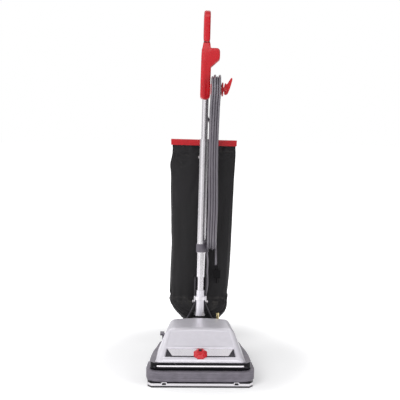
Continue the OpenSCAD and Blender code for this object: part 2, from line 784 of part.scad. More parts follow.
// Bristle rows wind round the core on each side of the belt groove, a degree for each millimetre
module bristle_row(x0, x1, turn) {
    steps = ceil((x1 - x0) / 18);
    rings = [for (i = [0:steps]) let(x = x0 + (x1 - x0) * i / steps, a = turn + x)
        [for (k = [[roll_r + 0.2, -2.5], [bristle_r, -2.5], [bristle_r, 2.5], [roll_r + 0.2, 2.5]])
            [x, k[0] * cos(a) - k[1] * sin(a), k[0] * sin(a) + k[1] * cos(a)]]];
    polyhedron(points = [for (r = rings) each r], faces = concat([[0, 1, 2], [0, 2, 3]],
        [for (i = [0:steps - 1]) for (k = [0:3]) for (f = [0, 1]) let(a = 4 * i + k, b = 4 * i + (k + 1) % 4)
            f == 0 ? [a, b + 4, b] : [a, a + 4, b + 4]],
        [[4 * steps, 4 * steps + 2, 4 * steps + 1], [4 * steps, 4 * steps + 3, 4 * steps + 2]]));
}
module brush_bristles() {
    color(black) from_nose() translate([0, roll_n, roll_z]) for (turn = [0, 180]) {
        bristle_row(-roll_half + 2, motor_x - groove_w / 2 - 3, turn);
        bristle_row(motor_x + groove_w / 2 + 3, roll_half - 2, turn);
    }
}
module brush_end_caps() {
    color(black) from_nose() translate([0, roll_n, roll_z]) both_sides() difference() {
        across(roll_half + 1, trough_half - seat, 14);
        across(roll_half, roll_half + 7.3, 5 + run);
    }
}

// ---------------------------------------------------------------- rear end
module rear_axle() {
    color(steel) from_nose() translate([0, axle_n, rear_r])
        across(-wheel_x - rear_w / 2 - 5, wheel_x + rear_w / 2 + 5, axle_r);
}
module rear_wheel(s) {
    color(rubber) from_nose() translate([s * wheel_x, axle_n, rear_r]) rotate([0, 90, 0]) difference() {
        rotate_extrude($fn = 64) polygon([[0, -rear_w / 2 - 4], [9, -rear_w / 2 - 4], [9, -rear_w / 2 + 5],
            [rear_r - 9, -rear_w / 2 + 5], [rear_r - 9, -rear_w / 2], [rear_r - 3, -rear_w / 2],
            [rear_r, -rear_w / 2 + 3], [rear_r, rear_w / 2 - 3], [rear_r - 3, rear_w / 2],
            [rear_r - 9, rear_w / 2], [rear_r - 9, rear_w / 2 - 5], [9, rear_w / 2 - 5], [9, rear_w / 2 + 1],
            [0, rear_w / 2 + 1]]);
        cylinder(h = rear_w + 20, r = axle_r + run, center = true);
    }
}
module rear_wheel_left() { mirror([1, 0, 0]) rear_wheel(1); }
module rear_wheel_right() { rear_wheel(1); }

duct_mid = [46, 205, 42];
duct_mid_r = 20;
cone_r = 26;
cone_low = -24;
cone_high = -4;
outlet_top = 44;
// Each length of the duct starts a little smaller inside the end of the one before
lap = 0.6;
// Duct from the fan housing's outlet, round the motor, to the round outlet behind the hood
module duct_form(in) {
    low = motor_z - fan_case_r + in;
    high = motor_z - fan_case_r + outlet_h - in;
    start_x = duct_x0 + seat - (in > 0 ? 1 : 0);
    side_x = duct_x0 + 42 - in;
    from_nose() {
        hull() {
            block([start_x, fan_n + in, low], [start_x + 1, motor_n - in, high]);
            block([duct_x0 + 24, motor_n - 6, low + 2], [side_x, motor_n + 6, high]);
        }
        hull() {
            block([duct_x0 + 26, motor_n + 1, low + 2 + lap], [side_x - lap, motor_n + 5, high - lap]);
            translate(duct_mid) rotate([-80, 0, 0]) cylinder(h = 2, r = duct_mid_r - in, $fn = 32);
        }
    }
    hull() {
        from_nose() translate(duct_mid) rotate([-80, 0, 0]) cylinder(h = 1, r = duct_mid_r - lap - in, $fn = 32);
        on_outlet() translate([0, 0, cone_low - 1]) cylinder(h = 1, r = cone_r - in, $fn = 32);
    }
    on_outlet() rotate_extrude() polygon([[0, cone_low - 1], [cone_r - 2 * lap - in, cone_low - 1],
        [outlet_r - in, cone_high], [outlet_r - in, outlet_top + (in > 0 ? 1 : 0)],
        [0, outlet_top + (in > 0 ? 1 : 0)]]);
}
module exhaust_duct() {
    color(black) difference() {
        duct_form(0);
        duct_form(duct_t);
    }
}

module bag_neck() {
    color(black) on_outlet() rotate_extrude() polygon([[outlet_r + seat, 18], [outlet_r + 4, 18],
        [outlet_r + 5, 30], [outlet_r + 4.5, 49], [outlet_r - 4, 52.5], [outlet_r - 6, 51],
        [outlet_r + 1, 46], [outlet_r + seat, 44]]);
}

module release_pedal() {
    color(black) from_nose() translate([0, pedal_n, pedal_z]) {
        across(pedal_x + 3, -70, 4);
        // Foot pad and its arm
        translate([pedal_x + 3, 0, 0]) rotate([0, 90, 0]) linear_extrude(6)
            polygon([[5, -5], [-20, 12], [-24, 12], [-24, 24], [-5, 4], [4, 4]]);
        block([pedal_x - 4, 4, 22], [pedal_x + 10, 32, 28]);
        // Finger that catches the bail's eye
        hull() {
            across(-72, -66, 4);
            translate([0, 12, 9]) across(-72, -66, 2.5);
        }
    }
}

module stop_post() {
    color(brass) from_nose() translate([post_x, post_n, crest_z - 2]) {
        cylinder(h = 66, r = 4);
        translate([0, 0, 42]) cylinder(h = 26, r = 5);
        cylinder(h = 4, r = 6.5);
    }
}

// ---------------------------------------------------------------- handle
// Half path of the bail strap: sideways place against height along the handle
bail_spread_w = bolt_low_w - 8;
hug_top = 196;
module bail_half_strap(s) {
    // The tube's side lean moves the strap's upper end
    near0 = s * (socket_r + seat) + bail_spread_w * tan(side);
    near1 = s * (socket_r + seat) + hug_top * tan(side);
    foot = s * bail_half;
    translate([0, strap_w / 2, 0]) rotate([90, 0, 0]) linear_extrude(strap_w) polygon([
        [foot, 0], [foot + s * strap_t, 0], [foot + s * strap_t, 6], [near0 + s * strap_t, bail_spread_w],
        [near1 + s * strap_t, hug_top], [near1, hug_top], [near0, bail_spread_w], [foot, 6]]);
}
socket_r = 17.6;
// Distance that the upper tube ends below the switch housing's top
tube_short = 60;
band_w = 118;
module handle_bail() {
    color(steel) in_handle() difference() {
        union() {
            for (s = [-1, 1]) bail_half_strap(s);
            both_sides() across(bail_half, bail_half + eye_t, eye_r);
            // Band that clamps the two straps round the socket
            rotate([0, side, 0]) translate([0, 0, band_w]) difference() {
                cylinder(h = 12, r = socket_r + seat + 2.5);
                translate([0, 0, -1]) cylinder(h = 14, r = socket_r + seat);
            }
        }
        across(-through / 2, through / 2, pivot_r + run);
        translate([0, 0, bolt_low_w]) across(-40, 40, 3.6);
    }
}
module pivot_bolts() {
    color(steel) from_nose() translate([0, pivot_n, pivot_z]) both_sides() {
        across(bail_half - 2, ear_x + ear_t + 1, pivot_r);
        across(ear_x + ear_t + seat, ear_x + ear_t + 6, pivot_r + 4);
    }
}
lead_foot = [12, 18.2];
module handle_socket() {
    color(silver) on_tube() difference() {
        union() {
            translate([0, 0, socket_w]) cylinder(h = socket_top - socket_w, r = socket_r);
            translate([0, 0, socket_w]) cylinder(h = 13, r = socket_r + 1);
            translate([lead_foot[0], lead_foot[1], socket_w]) cylinder(h = 13, r = 6);
        }
        translate([0, 0, socket_w + 5]) cylinder(h = through, r = lower_d / 2 + 0.1);
        translate([0, 0, bolt_low_w]) across(-40, 40, 3.1);
    }
}
module tube_bolts() {
    color(steel) {
        on_tube() translate([0, 0, bolt_low_w]) {
            across(-23.5, 23.5, 3);
            across(-27, -22, 6);
            across(22, 27, 6);
        }
        on_tube() translate([0, 0, bolt_high_w]) {
            across(-tube_r - 1, tube_r + 1, 2.5);
            across(-tube_r - 3, -tube_r - 0.4, 4.2);
            across(tube_r + 0.4, tube_r + 3, 4.2);
        }
    }
}
module tube(low, high, d, wall) {
    translate([0, 0, low]) difference() {
        cylinder(h = high - low, d = d);
        translate([0, 0, -1]) cylinder(h = high - low + 2, d = d - 2 * wall);
    }
}
module lower_tube() {
    color(steel) on_tube() difference() {
        tube(socket_w + 5 + seat, middle_w + 60, lower_d, 1.5);
        translate([0, 0, bolt_low_w]) across(-40, 40, 3.1);
    }
}
module middle_tube() {
    color(steel) on_tube() difference() {
        union() {
            tube(middle_w, seam_w, middle_d, (middle_d - lower_d) / 2 - 0.1);
            // Thicker ferrule that grips the upper tube
            tube(seam_w - 4, upper_w, middle_d + 0.8, (middle_d + 0.8 - upper_d) / 2 - 0.1);
        }
        translate([0, 0, bolt_high_w]) across(-40, 40, 2.6);
    }
}
module upper_tube() {
    color(steel) on_tube() difference() {
        tube(seam_w, housing_top - tube_short, upper_d, 1.5);
        translate([0, 0, bolt_high_w]) across(-40, 40, 2.6);
    }
}
lead_x = 19.8;
lead_u = 5;
lead_w = middle_w + 2;
module tube_collar() {
    color(rubber) on_tube() difference() {
        union() {
            translate([0, 0, lead_w]) cylinder(h = 28, r = tube_r + 2.6);
            translate([lead_x, lead_u, lead_w]) cylinder(h = 9, r = lead_r + 1.6);
        }
        translate([0, 0, middle_w]) cylinder(h = 40, r = tube_r + 0.1);
        translate([lead_x, lead_u, lead_w - 1]) cylinder(h = 8, r = lead_r + 0.1);
    }
}

// Outlines of the switch housing seen from the front: the stem on the tube, the wide head above
// it and the foot that the grip stands on, as (x, height along the handle)
head_w = grip_w + stem_h;
head_top = housing_top - 18;
stem_outline = [[-14, grip_w + 2], [-4, grip_w - 2], [6, grip_w - 1], [14, grip_w + 5], [15, grip_w + 12],
    [16, head_w + 12], [-18, head_w + 12], [-18, grip_w + 8]];
head_outline = [[16, head_w], [19, head_w + 2], [45, head_w + 26], [46, head_w + 31],
    [46, head_top - 10], [43, head_top - 3], [37, head_top], [-14, head_top], [-17, head_top - 5],
    [-18, head_w]];
foot_outline = [[-15, head_top - 6], [14, head_top - 6], [14, head_top], [11.5, housing_top],
    [-12, housing_top], [-15, head_top]];
housing_outlines = [stem_outline, head_outline, foot_outline];
housing_u0 = -17;
housing_seam = 4;
housing_u1 = 26;
// Prism of the housing's outline between two depths, drawn in by a distance
module housing_slab(u0, u1, in) {
    translate([0, u1, 0]) rotate([90, 0, 0]) linear_extrude(u1 - u0) offset(delta = -in)
        for (outline = housing_outlines) polygon(outline);
}
// Half shell's outer form, whose edges are rounded off towards a face at one depth
module half_shell(face, seam) {
    turn = sign(seam - face);
    for (outline = housing_outlines) hull() {
        shell_layer(outline, face, seam, 2.5);
        shell_layer(outline, face + 4 * turn, seam, 0);
    }
}
module shell_layer(outline, a, b, in) {
    translate([0, max(a, b), 0]) rotate([90, 0, 0]) linear_extrude(abs(b - a)) offset(delta = -in) polygon(outline);
}
module tube_bore() {
    translate([0, 0, grip_w - 20]) cylinder(h = housing_h - tube_short + 20 + seat, r = upper_d / 2 + 0.1);
}
module switch_housing() {
    color(red) on_tube() difference() {
        union() {
            difference() {
                half_shell(housing_u0, housing_seam);
                housing_slab(housing_u0 + shell_t, housing_seam + 1, shell_t);
            }
            // Ribs that clamp the tube
            for (w = [grip_w + 10, grip_w + 60, housing_top - 66])
                intersection() {
                    translate([-40, housing_u0 + 1, w]) cube([80, housing_seam - housing_u0 - 1, 6]);
                    housing_slab(housing_u0, housing_seam, 1);
                }
        }
        tube_bore();
        relief_bore();
    }
}
module relief_bore() { translate([relief_x, relief_u, grip_w - 20]) cylinder(h = 32, r = 5.6); }
rocker_x = 30;
rocker_w = head_top - 20;
module switch_cover() {
    color(red) on_tube() difference() {
        union() {
            difference() {
                half_shell(housing_u1, housing_seam + 0.1);
                housing_slab(housing_seam, housing_u1 - shell_t, shell_t);
            }
            intersection() {
                translate([-40, housing_seam + 0.1, grip_w + 10]) cube([80, housing_u1 - housing_seam - 1, 6]);
                housing_slab(housing_seam + 0.1, housing_u1, 1);
            }
        }
        tube_bore();
        relief_bore();
        translate([rocker_x - 7.5, housing_u1 - 6, rocker_w - 12]) cube([15, 20, 24]);
    }
}
module switch_body() {
    color(black) on_tube() difference() {
        translate([rocker_x - 9, housing_u0 + shell_t + seat, rocker_w - 14])
            cube([18, housing_u1 - shell_t - housing_u0 - shell_t - 2 * seat, 28]);
        translate([rocker_x - 7, housing_u1 - 16, rocker_w - 11.5]) cube([14, 30, 23]);
    }
}
rocker_u = housing_u1 - 4;
module power_rocker() {
    color(black) on_tube() translate([rocker_x, rocker_u, rocker_w]) difference() {
        union() {
            rotate([0, 90, 0]) linear_extrude(13, center = true)
                polygon([[-10.5, 1.4], [0, 5.6], [10.5, 4.6], [9.6, -3], [0, -5], [-9.6, -4]]);
            across(-6.5, 6.5, 4);
        }
        across(-8, 8, 1.5);
    }
}

// Closed grip loop, seen from the side: (distance back, height along the handle)
finger_r = 12;
module grip_outline() {
    hull() {
        translate([13, grip_top - 26]) circle(26, $fn = 40);
        translate([60, grip_top - 30]) circle(26, $fn = 40);
        translate([63, grip_top - 74]) circle(22, $fn = 40);
        translate([-13, housing_top + seat]) square([38, 1]);
    }
}
module grip() {
    color(red) on_tube() difference() {
        hull() {
            rotate([90, 0, 90]) linear_extrude(grip_t - 10, center = true) grip_outline();
            rotate([90, 0, 90]) linear_extrude(grip_t, center = true) offset(delta = -4) grip_outline();
            translate([-grip_t / 2, housing_u0 + 5, housing_top + seat]) cube([grip_t, 30, 1]);
        }
        rotate([90, 0, 90]) linear_extrude(grip_t + 2, center = true) hull() {
            for (p = [[24, grip_top - 34], [51, grip_top - 36], [51, grip_top - 68], [24, grip_top - 66]])
                translate(p) circle(finger_r, $fn = 32);
        }
    }
}

// ---------------------------------------------------------------- cord gear
saddle_u = hank_u - 1;
saddle_w = hank_top + 1.6;
flange_t = 5;
flange_boss = 2;
module cord_saddle() {
    color(red) on_tube() translate([0, saddle_u, saddle_w]) difference() {
        union() {
            across(saddle_x0 + 0.5, flange_x + 1, saddle_r);
            intersection() {
                across(flange_x, flange_x + flange_t, saddle_r + 5);
                block([0, -through, -21], [through, through, 21]);
            }
            across(flange_x, flange_x + flange_t + flange_boss, 8);
        }
        across(saddle_x0 + 3, flange_x - 3, saddle_r - 3);
        across(flange_x - 6, flange_x + 40, 3 + run);
        // The saddle stands on the housing's right side
        translate([0, -saddle_u, -saddle_w]) housing_slab(housing_u0 - 1, housing_u1 + 1, -0.3);
    }
}
hook_x0 = flange_x + flange_t + flange_boss + 0.4;
module cord_hook() {
    color(red) on_tube() translate([0, saddle_u, saddle_w]) {
        across(flange_x - 2, hook_x0 + 1, 3);
        across(hook_x0, hook_x0 + 10, 10);
        // Arm that slopes up and out to a narrow tip
        translate([0, 5, 0]) rotate([90, 0, 0]) linear_extrude(10) polygon([
            [hook_x0 + 1, -19], [hook_x0 + 9, -19], [hook_x0 + 13, -13], [hook_x0 + 28, 36],
            [hook_x0 + 26, 41], [hook_x0 + 23, 39], [hook_x0 + 9, 12], [hook_x0 + 9, 20], [hook_x0 + 1, 20]]);
    }
}
module strain_relief() {
    color(black) on_tube() translate([relief_x, relief_u, grip_w + 11]) mirror([0, 0, 1]) difference() {
        rotate_extrude() polygon([[0, 0], [5.5, 0], [5.5, 14.5], [6.3, 14.5], [6.3, 20],
            [4.9, relief_len + 11], [0, relief_len + 11]]);
        translate([0, 0, -1]) cylinder(h = 6, r = cord_d / 2 + 0.1);
    }
}

// Tube of flat-sided rings along points, whose side direction stays near X
function unit(v) = v / norm(v);
function tangent(p, i) = unit(p[min(i + 1, len(p) - 1)] - p[max(i - 1, 0)]);
function tube_ring(c, t, r, n) = let(b = unit([1, 0, 0] - t[0] * t), a = cross(t, b))
    [for (k = [0:n - 1]) c + r * (cos(360 * k / n) * b + sin(360 * k / n) * a)];
module cord_tube(p, r, n) {
    last = len(p) - 1;
    polyhedron(points = [for (i = [0:last]) each tube_ring(p[i], tangent(p, i), r, n)],
        faces = concat(
            [for (k = [1:n - 2]) [0, k, k + 1]],
            [for (i = [0:last - 1]) for (k = [0:n - 1]) for (f = [0, 1]) let(
                a = n * i + k, b = n * i + (k + 1) % n, c = b + n, d = a + n)
                f == 0 ? [a, c, b] : [a, d, c]],
            [for (k = [1:n - 2]) [n * last, n * last + k + 1, n * last + k]]));
}

// Hank: each loop has a run down at the back, a bottom arc, a run up at the front and a top arc.
// The radius shrinks and grows at a steady rate, three loops to a layer, and the cord climbs to
// the next layer in the run down where the spiral turns.
ring_count = 24;
function hank_r(i) = let(t = i / ring_count, j = floor(t / loops), f = t - j * loops)
    j % 2 == 0 ? loop_out - loop_pitch * f : loop_in + loop_pitch * f;
function hank_layer(i) = let(j = floor(i / ring_count / loops), k = i - j * loops * ring_count)
    j > 0 && k < 4 ? j - 1 + k / 4 : j;
function hank_angle(k) = k <= 4 ? 0 : k <= 12 ? -22.5 * (k - 4) : k < 16 ? 180 : 180 - 22.5 * (k - 16);
function hank_centre(k) = let(f = (hank_top - hank_low) / 4)
    k <= 4 ? hank_top - f * k : k <= 12 ? hank_low : k < 16 ? hank_low + f * (k - 12) : hank_top;
function hank_point(i) = let(k = i % ring_count, r = hank_r(i), a = hank_angle(k))
    [hank_x + layer_pitch * hank_layer(i), hank_u + r * cos(a), hank_centre(k) + r * sin(a)];
hank_last = loops * layers * ring_count;
hank_end = [hank_x + layer_pitch * (layers - 1), hank_u + loop_out, hank_top];
tail_u = hank_end[1] + 1.6;
hank_points = concat([for (i = [1:hank_last - 1]) hank_point(i)],
    [hank_end, [hank_end[0], tail_u, tail_w + cord_d], [hank_end[0], tail_u, tail_w]]);

// Free stretches, in the tube's frame
lead_points = [
    [relief_x, relief_u, grip_w - relief_len], [relief_x, relief_u, 766], [6, 19.4, 759],
    [8, 21, 752], [11, 23.4, 745], [15, 26.2, 738], [19, 28.6, 731], [22, 30.3, 725],
    hank_points[0] + [0, 0, 5], hank_points[0]];
tail_points = [
    [hank_end[0], tail_u, tail_w], [hank_end[0], tail_u, 408], [50.2, 33, 390], [50.8, 33, 370],
    [51.6, 32.6, 350], [52.6, 31.6, 330], [53.6, 29.6, 310], [54.6, 26.8, 290], [55.4, 24, 272],
    [56, 22, 258], [56, 21, 246], [56, 21, plug_w]];
motor_lead_points = [
    [lead_x, lead_u, lead_w + 6.7], [lead_x, lead_u, lead_w - 5], [21, 6, 268], [22.4, 7.6, 256],
    [22.8, 10, 242], [22.4, 12.6, 228], [22.4, 14.6, 214], [23.4, 16.6, 198], [24, 18, 182],
    [23.6, 19, 164], [21.6, 20, 148], [19, 20.8, 132], [15.4, 20.8, 116], [12.6, 19.4, 100],
    [lead_foot[0], lead_foot[1], 88], [lead_foot[0], lead_foot[1], socket_w + 13]];

function path_length(p) = len(p) < 2 ? 0 : [for (i = 1, s = norm(p[1] - p[0]); i < len(p);
    i = i + 1, s = s + (i < len(p) ? norm(p[i] - p[i - 1]) : 0)) s][len(p) - 2];
hank_gap = min([for (i = [0:len(hank_points) - 10]) for (j = [i + 8:len(hank_points) - 1])
    norm(hank_points[i] - hank_points[j])]) - cord_d;
echo("least gap between the hank's loops", hank_gap);
echo("cord length", path_length(lead_points) + path_length(hank_points) + path_length(tail_points));

module cord_lead() { color(cord_grey) on_tube() cord_tube(lead_points, cord_d / 2, 8); }
module cord_hank() { color(cord_grey) on_tube() cord_tube(hank_points, cord_d / 2, 6); }
module cord_tail() { color(cord_grey) on_tube() cord_tube(tail_points, cord_d / 2, 8); }
module motor_lead() { color(cord_grey) on_tube() cord_tube(motor_lead_points, lead_r, 8); }
module plug() {
    end = tail_points[len(tail_points) - 1];
    color(black) on_tube() translate([end[0], end[1], plug_w]) mirror([0, 0, 1]) {
        cylinder(h = 16, r1 = 5, r2 = 6);
        translate([-12, -9, 16]) cube([24, 18, 28]);
        for (x = [-6.4, 6.4]) translate([x - 0.75, -7, 43]) cube([1.5, 6.5, 18]);
        translate([0, 4, 43]) cylinder(h = 20, r = 2.4);
    }
}

// ---------------------------------------------------------------- bag
bag_low = 96;
// Angle above straight back at which the bag's neck meets the exhaust outlet
neck_tilt = 36;
// Thin slice of the bag with rounded corners: half width, front, back, height along the handle
module bag_slice(half, u0, u1, w, r) {
    corners = [[half - r, u1 - r], [-half + r, u1 - r], [-half + r, u0 + r], [half - r, u0 + r]];
    translate([0, 0, w]) linear_extrude(1) polygon([for (q = [0:3]) for (a = [0:30:90])
        corners[q] + r * [cos(90 * q + a), sin(90 * q + a)]]);
}
fold_w = clip_top - clip_h - 1;
belly_w = 560;
bag_mid_w = 430;
bag_foot_w = 220;
// Distance that the bag's folded top is set back from its front
top_setback = 3;
module bag_form(in) {
    foot = bag_low + 4 + in;
    hull() {
        bag_slice(bag_top_w / 2 - in, bag_u + top_setback + in, bag_u + top_setback + 8 - in, fold_w - in, 2);
        bag_slice(bag_top_w / 2 - 2 - in, bag_u + in, bag_u + bag_depth * 0.62 - in, belly_w, 14);
        bag_slice(bag_top_w / 2 - 5 - in, bag_u + in, bag_u + bag_depth - in, bag_mid_w, 20);
        bag_slice(bag_low_w / 2 + 2 - in, bag_u + in, bag_u + bag_depth - in, bag_foot_w, 20);
        bag_slice(bag_low_w / 2 - in, bag_u + in, bag_u + bag_depth - 14 - in, foot, 16);
    }
    // Funnel down to the neck
    hull() {
        bag_slice(bag_low_w / 2 - in, bag_u + in, bag_u + bag_depth - 14 - in, foot, 16);
        rotate([neck_tilt - 90, 0, 0]) translate([0, 0, bag_cut + in]) cylinder(h = 1, r = 42 - in, $fn = 24);
    }
}
module bag() {
    color(black) on_tube() {
        difference() {
            bag_form(0);
            bag_form(bag_t);
        }
        // Folded top that the clip holds
        block([-bag_top_w / 2 + 1, bag_u + top_setback, fold_w - 1],
            [bag_top_w / 2 - 1, bag_u + top_setback + 8, clip_top - 6]);
    }
}
module bag_clip() {
    color(red) on_tube() difference() {
        translate([-bag_top_w / 2 - 2, bag_u, clip_top - clip_h]) cube([bag_top_w + 4, 14, clip_h]);
        translate([-bag_top_w / 2 - 3, bag_u + 2.4, clip_top - clip_h - 1]) cube([bag_top_w + 6, 9.2, clip_h - 3]);
    }
}
hanger_w = bolt_high_w - 14;
// Bracket on the tube whose tongue reaches the bag's front under its clip
module bag_hanger() {
    reach = bag_u + top_setback * (hanger_w - belly_w) / (fold_w - belly_w) - seat;
    color(steel) on_tube() {
        block([-6, tube_r + 0.5, hanger_w], [6, reach, hanger_w + 2]);
        block([-6, tube_r + 0.5, hanger_w - 16], [6, tube_r + 2.5, hanger_w + 24]);
    }
}

base_housing();
bumper();
front_panel();
trim_strip();
panel_screws();
sole_plate();
sole_clips();
sole_latch_left();
sole_latch_right();
hood();
name_panel();
hood_screws();
fan_housing();
motor_housing();
stator();
armature();
commutator();
fan_impeller();
motor_bearings();
carbon_brushes();
drive_belt();
brush_roll();
brush_bristles();
brush_end_caps();
wheel_carriage();
front_wheel_left();
front_wheel_right();
height_knob();
height_cam();
rear_axle();
rear_wheel_left();
rear_wheel_right();
exhaust_duct();
bag_neck();
release_pedal();
stop_post();
handle_bail();
pivot_bolts();
handle_socket();
tube_bolts();
lower_tube();
tube_collar();
middle_tube();
upper_tube();
switch_housing();
switch_cover();
switch_body();
power_rocker();
grip();
cord_saddle();
cord_hook();
strain_relief();
motor_lead();
bag();
bag_clip();
bag_hanger();
cord_lead();
cord_hank();
cord_tail();
plug();
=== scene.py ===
"""Dresses the frame of the upright vacuum cleaner: paint, chrome and plastic for every piece, the moulded
red switch handle, the cast silver hood, the cloth dust bag and the mains cord in its hank.

Lengths are in metres. X runs across the machine, -Y is the nozzle side and the floor is z = 0.
The tube's own frame has x across, u back and w along the handle from its pivot.
"""

import json
import math

import bmesh
import bpy
import numpy as np
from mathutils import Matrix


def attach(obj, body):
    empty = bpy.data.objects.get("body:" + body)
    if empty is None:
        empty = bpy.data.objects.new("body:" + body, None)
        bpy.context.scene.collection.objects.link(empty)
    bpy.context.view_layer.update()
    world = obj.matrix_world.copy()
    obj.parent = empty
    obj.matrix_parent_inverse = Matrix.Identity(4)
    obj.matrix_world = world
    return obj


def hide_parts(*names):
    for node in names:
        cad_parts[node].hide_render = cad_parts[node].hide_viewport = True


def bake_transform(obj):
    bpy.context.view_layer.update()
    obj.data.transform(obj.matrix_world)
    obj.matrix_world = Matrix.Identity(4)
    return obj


bl_info = {
    "name": "Upright Vacuum Cleaner Finish",
    "version": (1, 0, 0),
    "blender": (4, 5, 0),
    "location": "3D View > Sidebar > Vacuum",
    "description": "Builds the finish, bag, cord and mouldings of an upright vacuum cleaner",
    "category": "Object",
}

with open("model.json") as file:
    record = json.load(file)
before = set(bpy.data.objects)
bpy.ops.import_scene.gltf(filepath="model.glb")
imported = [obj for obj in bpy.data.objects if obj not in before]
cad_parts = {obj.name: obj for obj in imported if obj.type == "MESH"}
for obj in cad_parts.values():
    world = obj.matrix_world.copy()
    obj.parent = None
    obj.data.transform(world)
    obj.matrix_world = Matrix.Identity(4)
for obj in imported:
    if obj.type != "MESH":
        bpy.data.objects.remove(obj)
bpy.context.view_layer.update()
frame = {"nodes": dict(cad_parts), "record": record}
NODES = frame["nodes"]

MM = 0.001

# ---------------------------------------------------------------- places
NOSE = 267 * MM  # from the nozzle front to the middle of the machine
PIVOT = np.array([0.0, 33 * MM, 85 * MM])
LEAN = math.radians(8)
SIDE = math.radians(1)
HOOD_FRONT = np.array([0.0, -247 * MM, 83 * MM])
SLOPE = math.atan2(67, 120)


def tube_place(points):
    """Points (x, u, w) of the tube's frame in the machine's frame: a turn by SIDE about Y, then by -LEAN
    about X, then a move to the pivot."""
    p = np.asarray(points, float)
    x = p[..., 0] * math.cos(SIDE) + p[..., 2] * math.sin(SIDE)
    z = -p[..., 0] * math.sin(SIDE) + p[..., 2] * math.cos(SIDE)
    y = p[..., 1] * math.cos(LEAN) + z * math.sin(LEAN)
    z = -p[..., 1] * math.sin(LEAN) + z * math.cos(LEAN)
    return np.stack([x, y, z], -1) + PIVOT


def slope_place(points):
    """Points (x, up the slope, out of the slope) of the hood's front slope in the machine's frame."""
    p = np.asarray(points, float)
    y = p[..., 1] * math.cos(SLOPE) - p[..., 2] * math.sin(SLOPE)
    z = p[..., 1] * math.sin(SLOPE) + p[..., 2] * math.cos(SLOPE)
    return np.stack([p[..., 0], y, z], -1) + HOOD_FRONT


def nose_place(points):
    """Points (x, distance back from the nozzle, height) in the machine's frame."""
    return np.asarray(points, float) - np.array([0.0, NOSE, 0.0])


def shift_place(place, by):
    """Place function whose points are moved by an offset first."""
    return lambda points: place(np.asarray(points, float) + np.asarray(by, float))


def tube_front(points):
    """Points (across, height along the handle, depth back) in the machine's frame."""
    return tube_place(np.asarray(points, float)[..., [0, 2, 1]])


def tube_side(points):
    """Points (back, height along the handle, across) in the machine's frame."""
    return tube_place(np.asarray(points, float)[..., [2, 0, 1]])


def front_place(points):
    """Points (x, height, distance behind the nozzle front) in the machine's frame."""
    return nose_place(np.asarray(points, float)[..., [0, 2, 1]])


# ---------------------------------------------------------------- lines
def smooth_step(t):
    """3t^2 - 2t^3 between 0 and 1."""
    t = np.clip(t, 0.0, 1.0)
    return t * t * (3 - 2 * t)


def around(count):
    """Even angles round a circle from 0, without the last that would close it."""
    return np.linspace(0, 2 * math.pi, count + 1)[:-1]


def unit(vectors):
    """Vectors at length 1."""
    return vectors / np.linalg.norm(vectors, axis=-1, keepdims=True)


def line_length(line):
    """Distance from a line's start to each of its points."""
    return np.concatenate([[0.0], np.cumsum(np.linalg.norm(np.diff(line, axis=0), axis=1))])


def along_line(line, places):
    """Points of a line at distances along it."""
    along = line_length(line)
    return np.stack([np.interp(places, along, line[:, k]) for k in range(line.shape[1])], -1)


def even_line(line, count):
    """Line as a number of points at even distances along it."""
    return along_line(line, np.linspace(0, line_length(line)[-1], count))


def left_of(line):
    """Unit directions to the left of a flat line at each of its points."""
    way = unit(np.gradient(line, axis=0))
    return np.stack([-way[:, 1], way[:, 0]], -1)


def corner_curve(before, corner, after, reach, steps):
    """Quadratic curve that rounds a corner, from a reach before it to a reach after it."""
    way_in, way_out = before - corner, after - corner
    start = corner + way_in * min(0.49, reach / max(np.linalg.norm(way_in), 1e-9))
    end = corner + way_out * min(0.49, reach / max(np.linalg.norm(way_out), 1e-9))
    t = np.linspace(0, 1, steps + 1)[:, None]
    return (1 - t) ** 2 * start + 2 * t * (1 - t) * corner + t**2 * end


def round_line(points, reach, steps=6, loop=False):
    """Line through points with its corners rounded by one reach or a reach for each corner."""
    p = np.asarray(points, float)
    reaches = np.broadcast_to(np.asarray(reach, float), len(p))
    inside = range(len(p)) if loop else range(1, len(p) - 1)
    curves = [corner_curve(p[i - 1], p[i], p[(i + 1) % len(p)], reaches[i], steps) for i in inside]
    return np.vstack(curves if loop else [p[:1], *curves, p[-1:]])


def stations(length, coarse, marks=()):
    """Places along a length, coarse apart and closer round each mark (place, reach, step)."""
    places = [np.arange(0, length, coarse), [length]]
    places += [np.arange(place - reach, place + reach, step) for place, reach, step in marks]
    every = np.unique(np.round(np.clip(np.concatenate(places), 0, length), 7))
    return every[np.concatenate([[True], np.diff(every) > 1e-5])]


def even_loop(points, reach, count, steps=8):
    """Closed outline with rounded corners, as points at even distances round it."""
    loop = round_line(points, reach, steps, loop=True)
    return even_line(np.vstack([loop, loop[:1]]), count + 1)[:-1]


def inset_loop(loop, distance):
    """Closed outline, given anticlockwise, moved inwards along its normals."""
    way = unit(np.roll(loop, -1, 0) - np.roll(loop, 1, 0))
    return loop + distance * np.stack([-way[:, 1], way[:, 0]], -1)


def smooth_loop(loop, times):
    """Closed outline with each point moved halfway to the mean of its neighbours, a number of times."""
    for _ in range(times):
        loop = 0.5 * loop + 0.25 * (np.roll(loop, 1, 0) + np.roll(loop, -1, 0))
    return loop


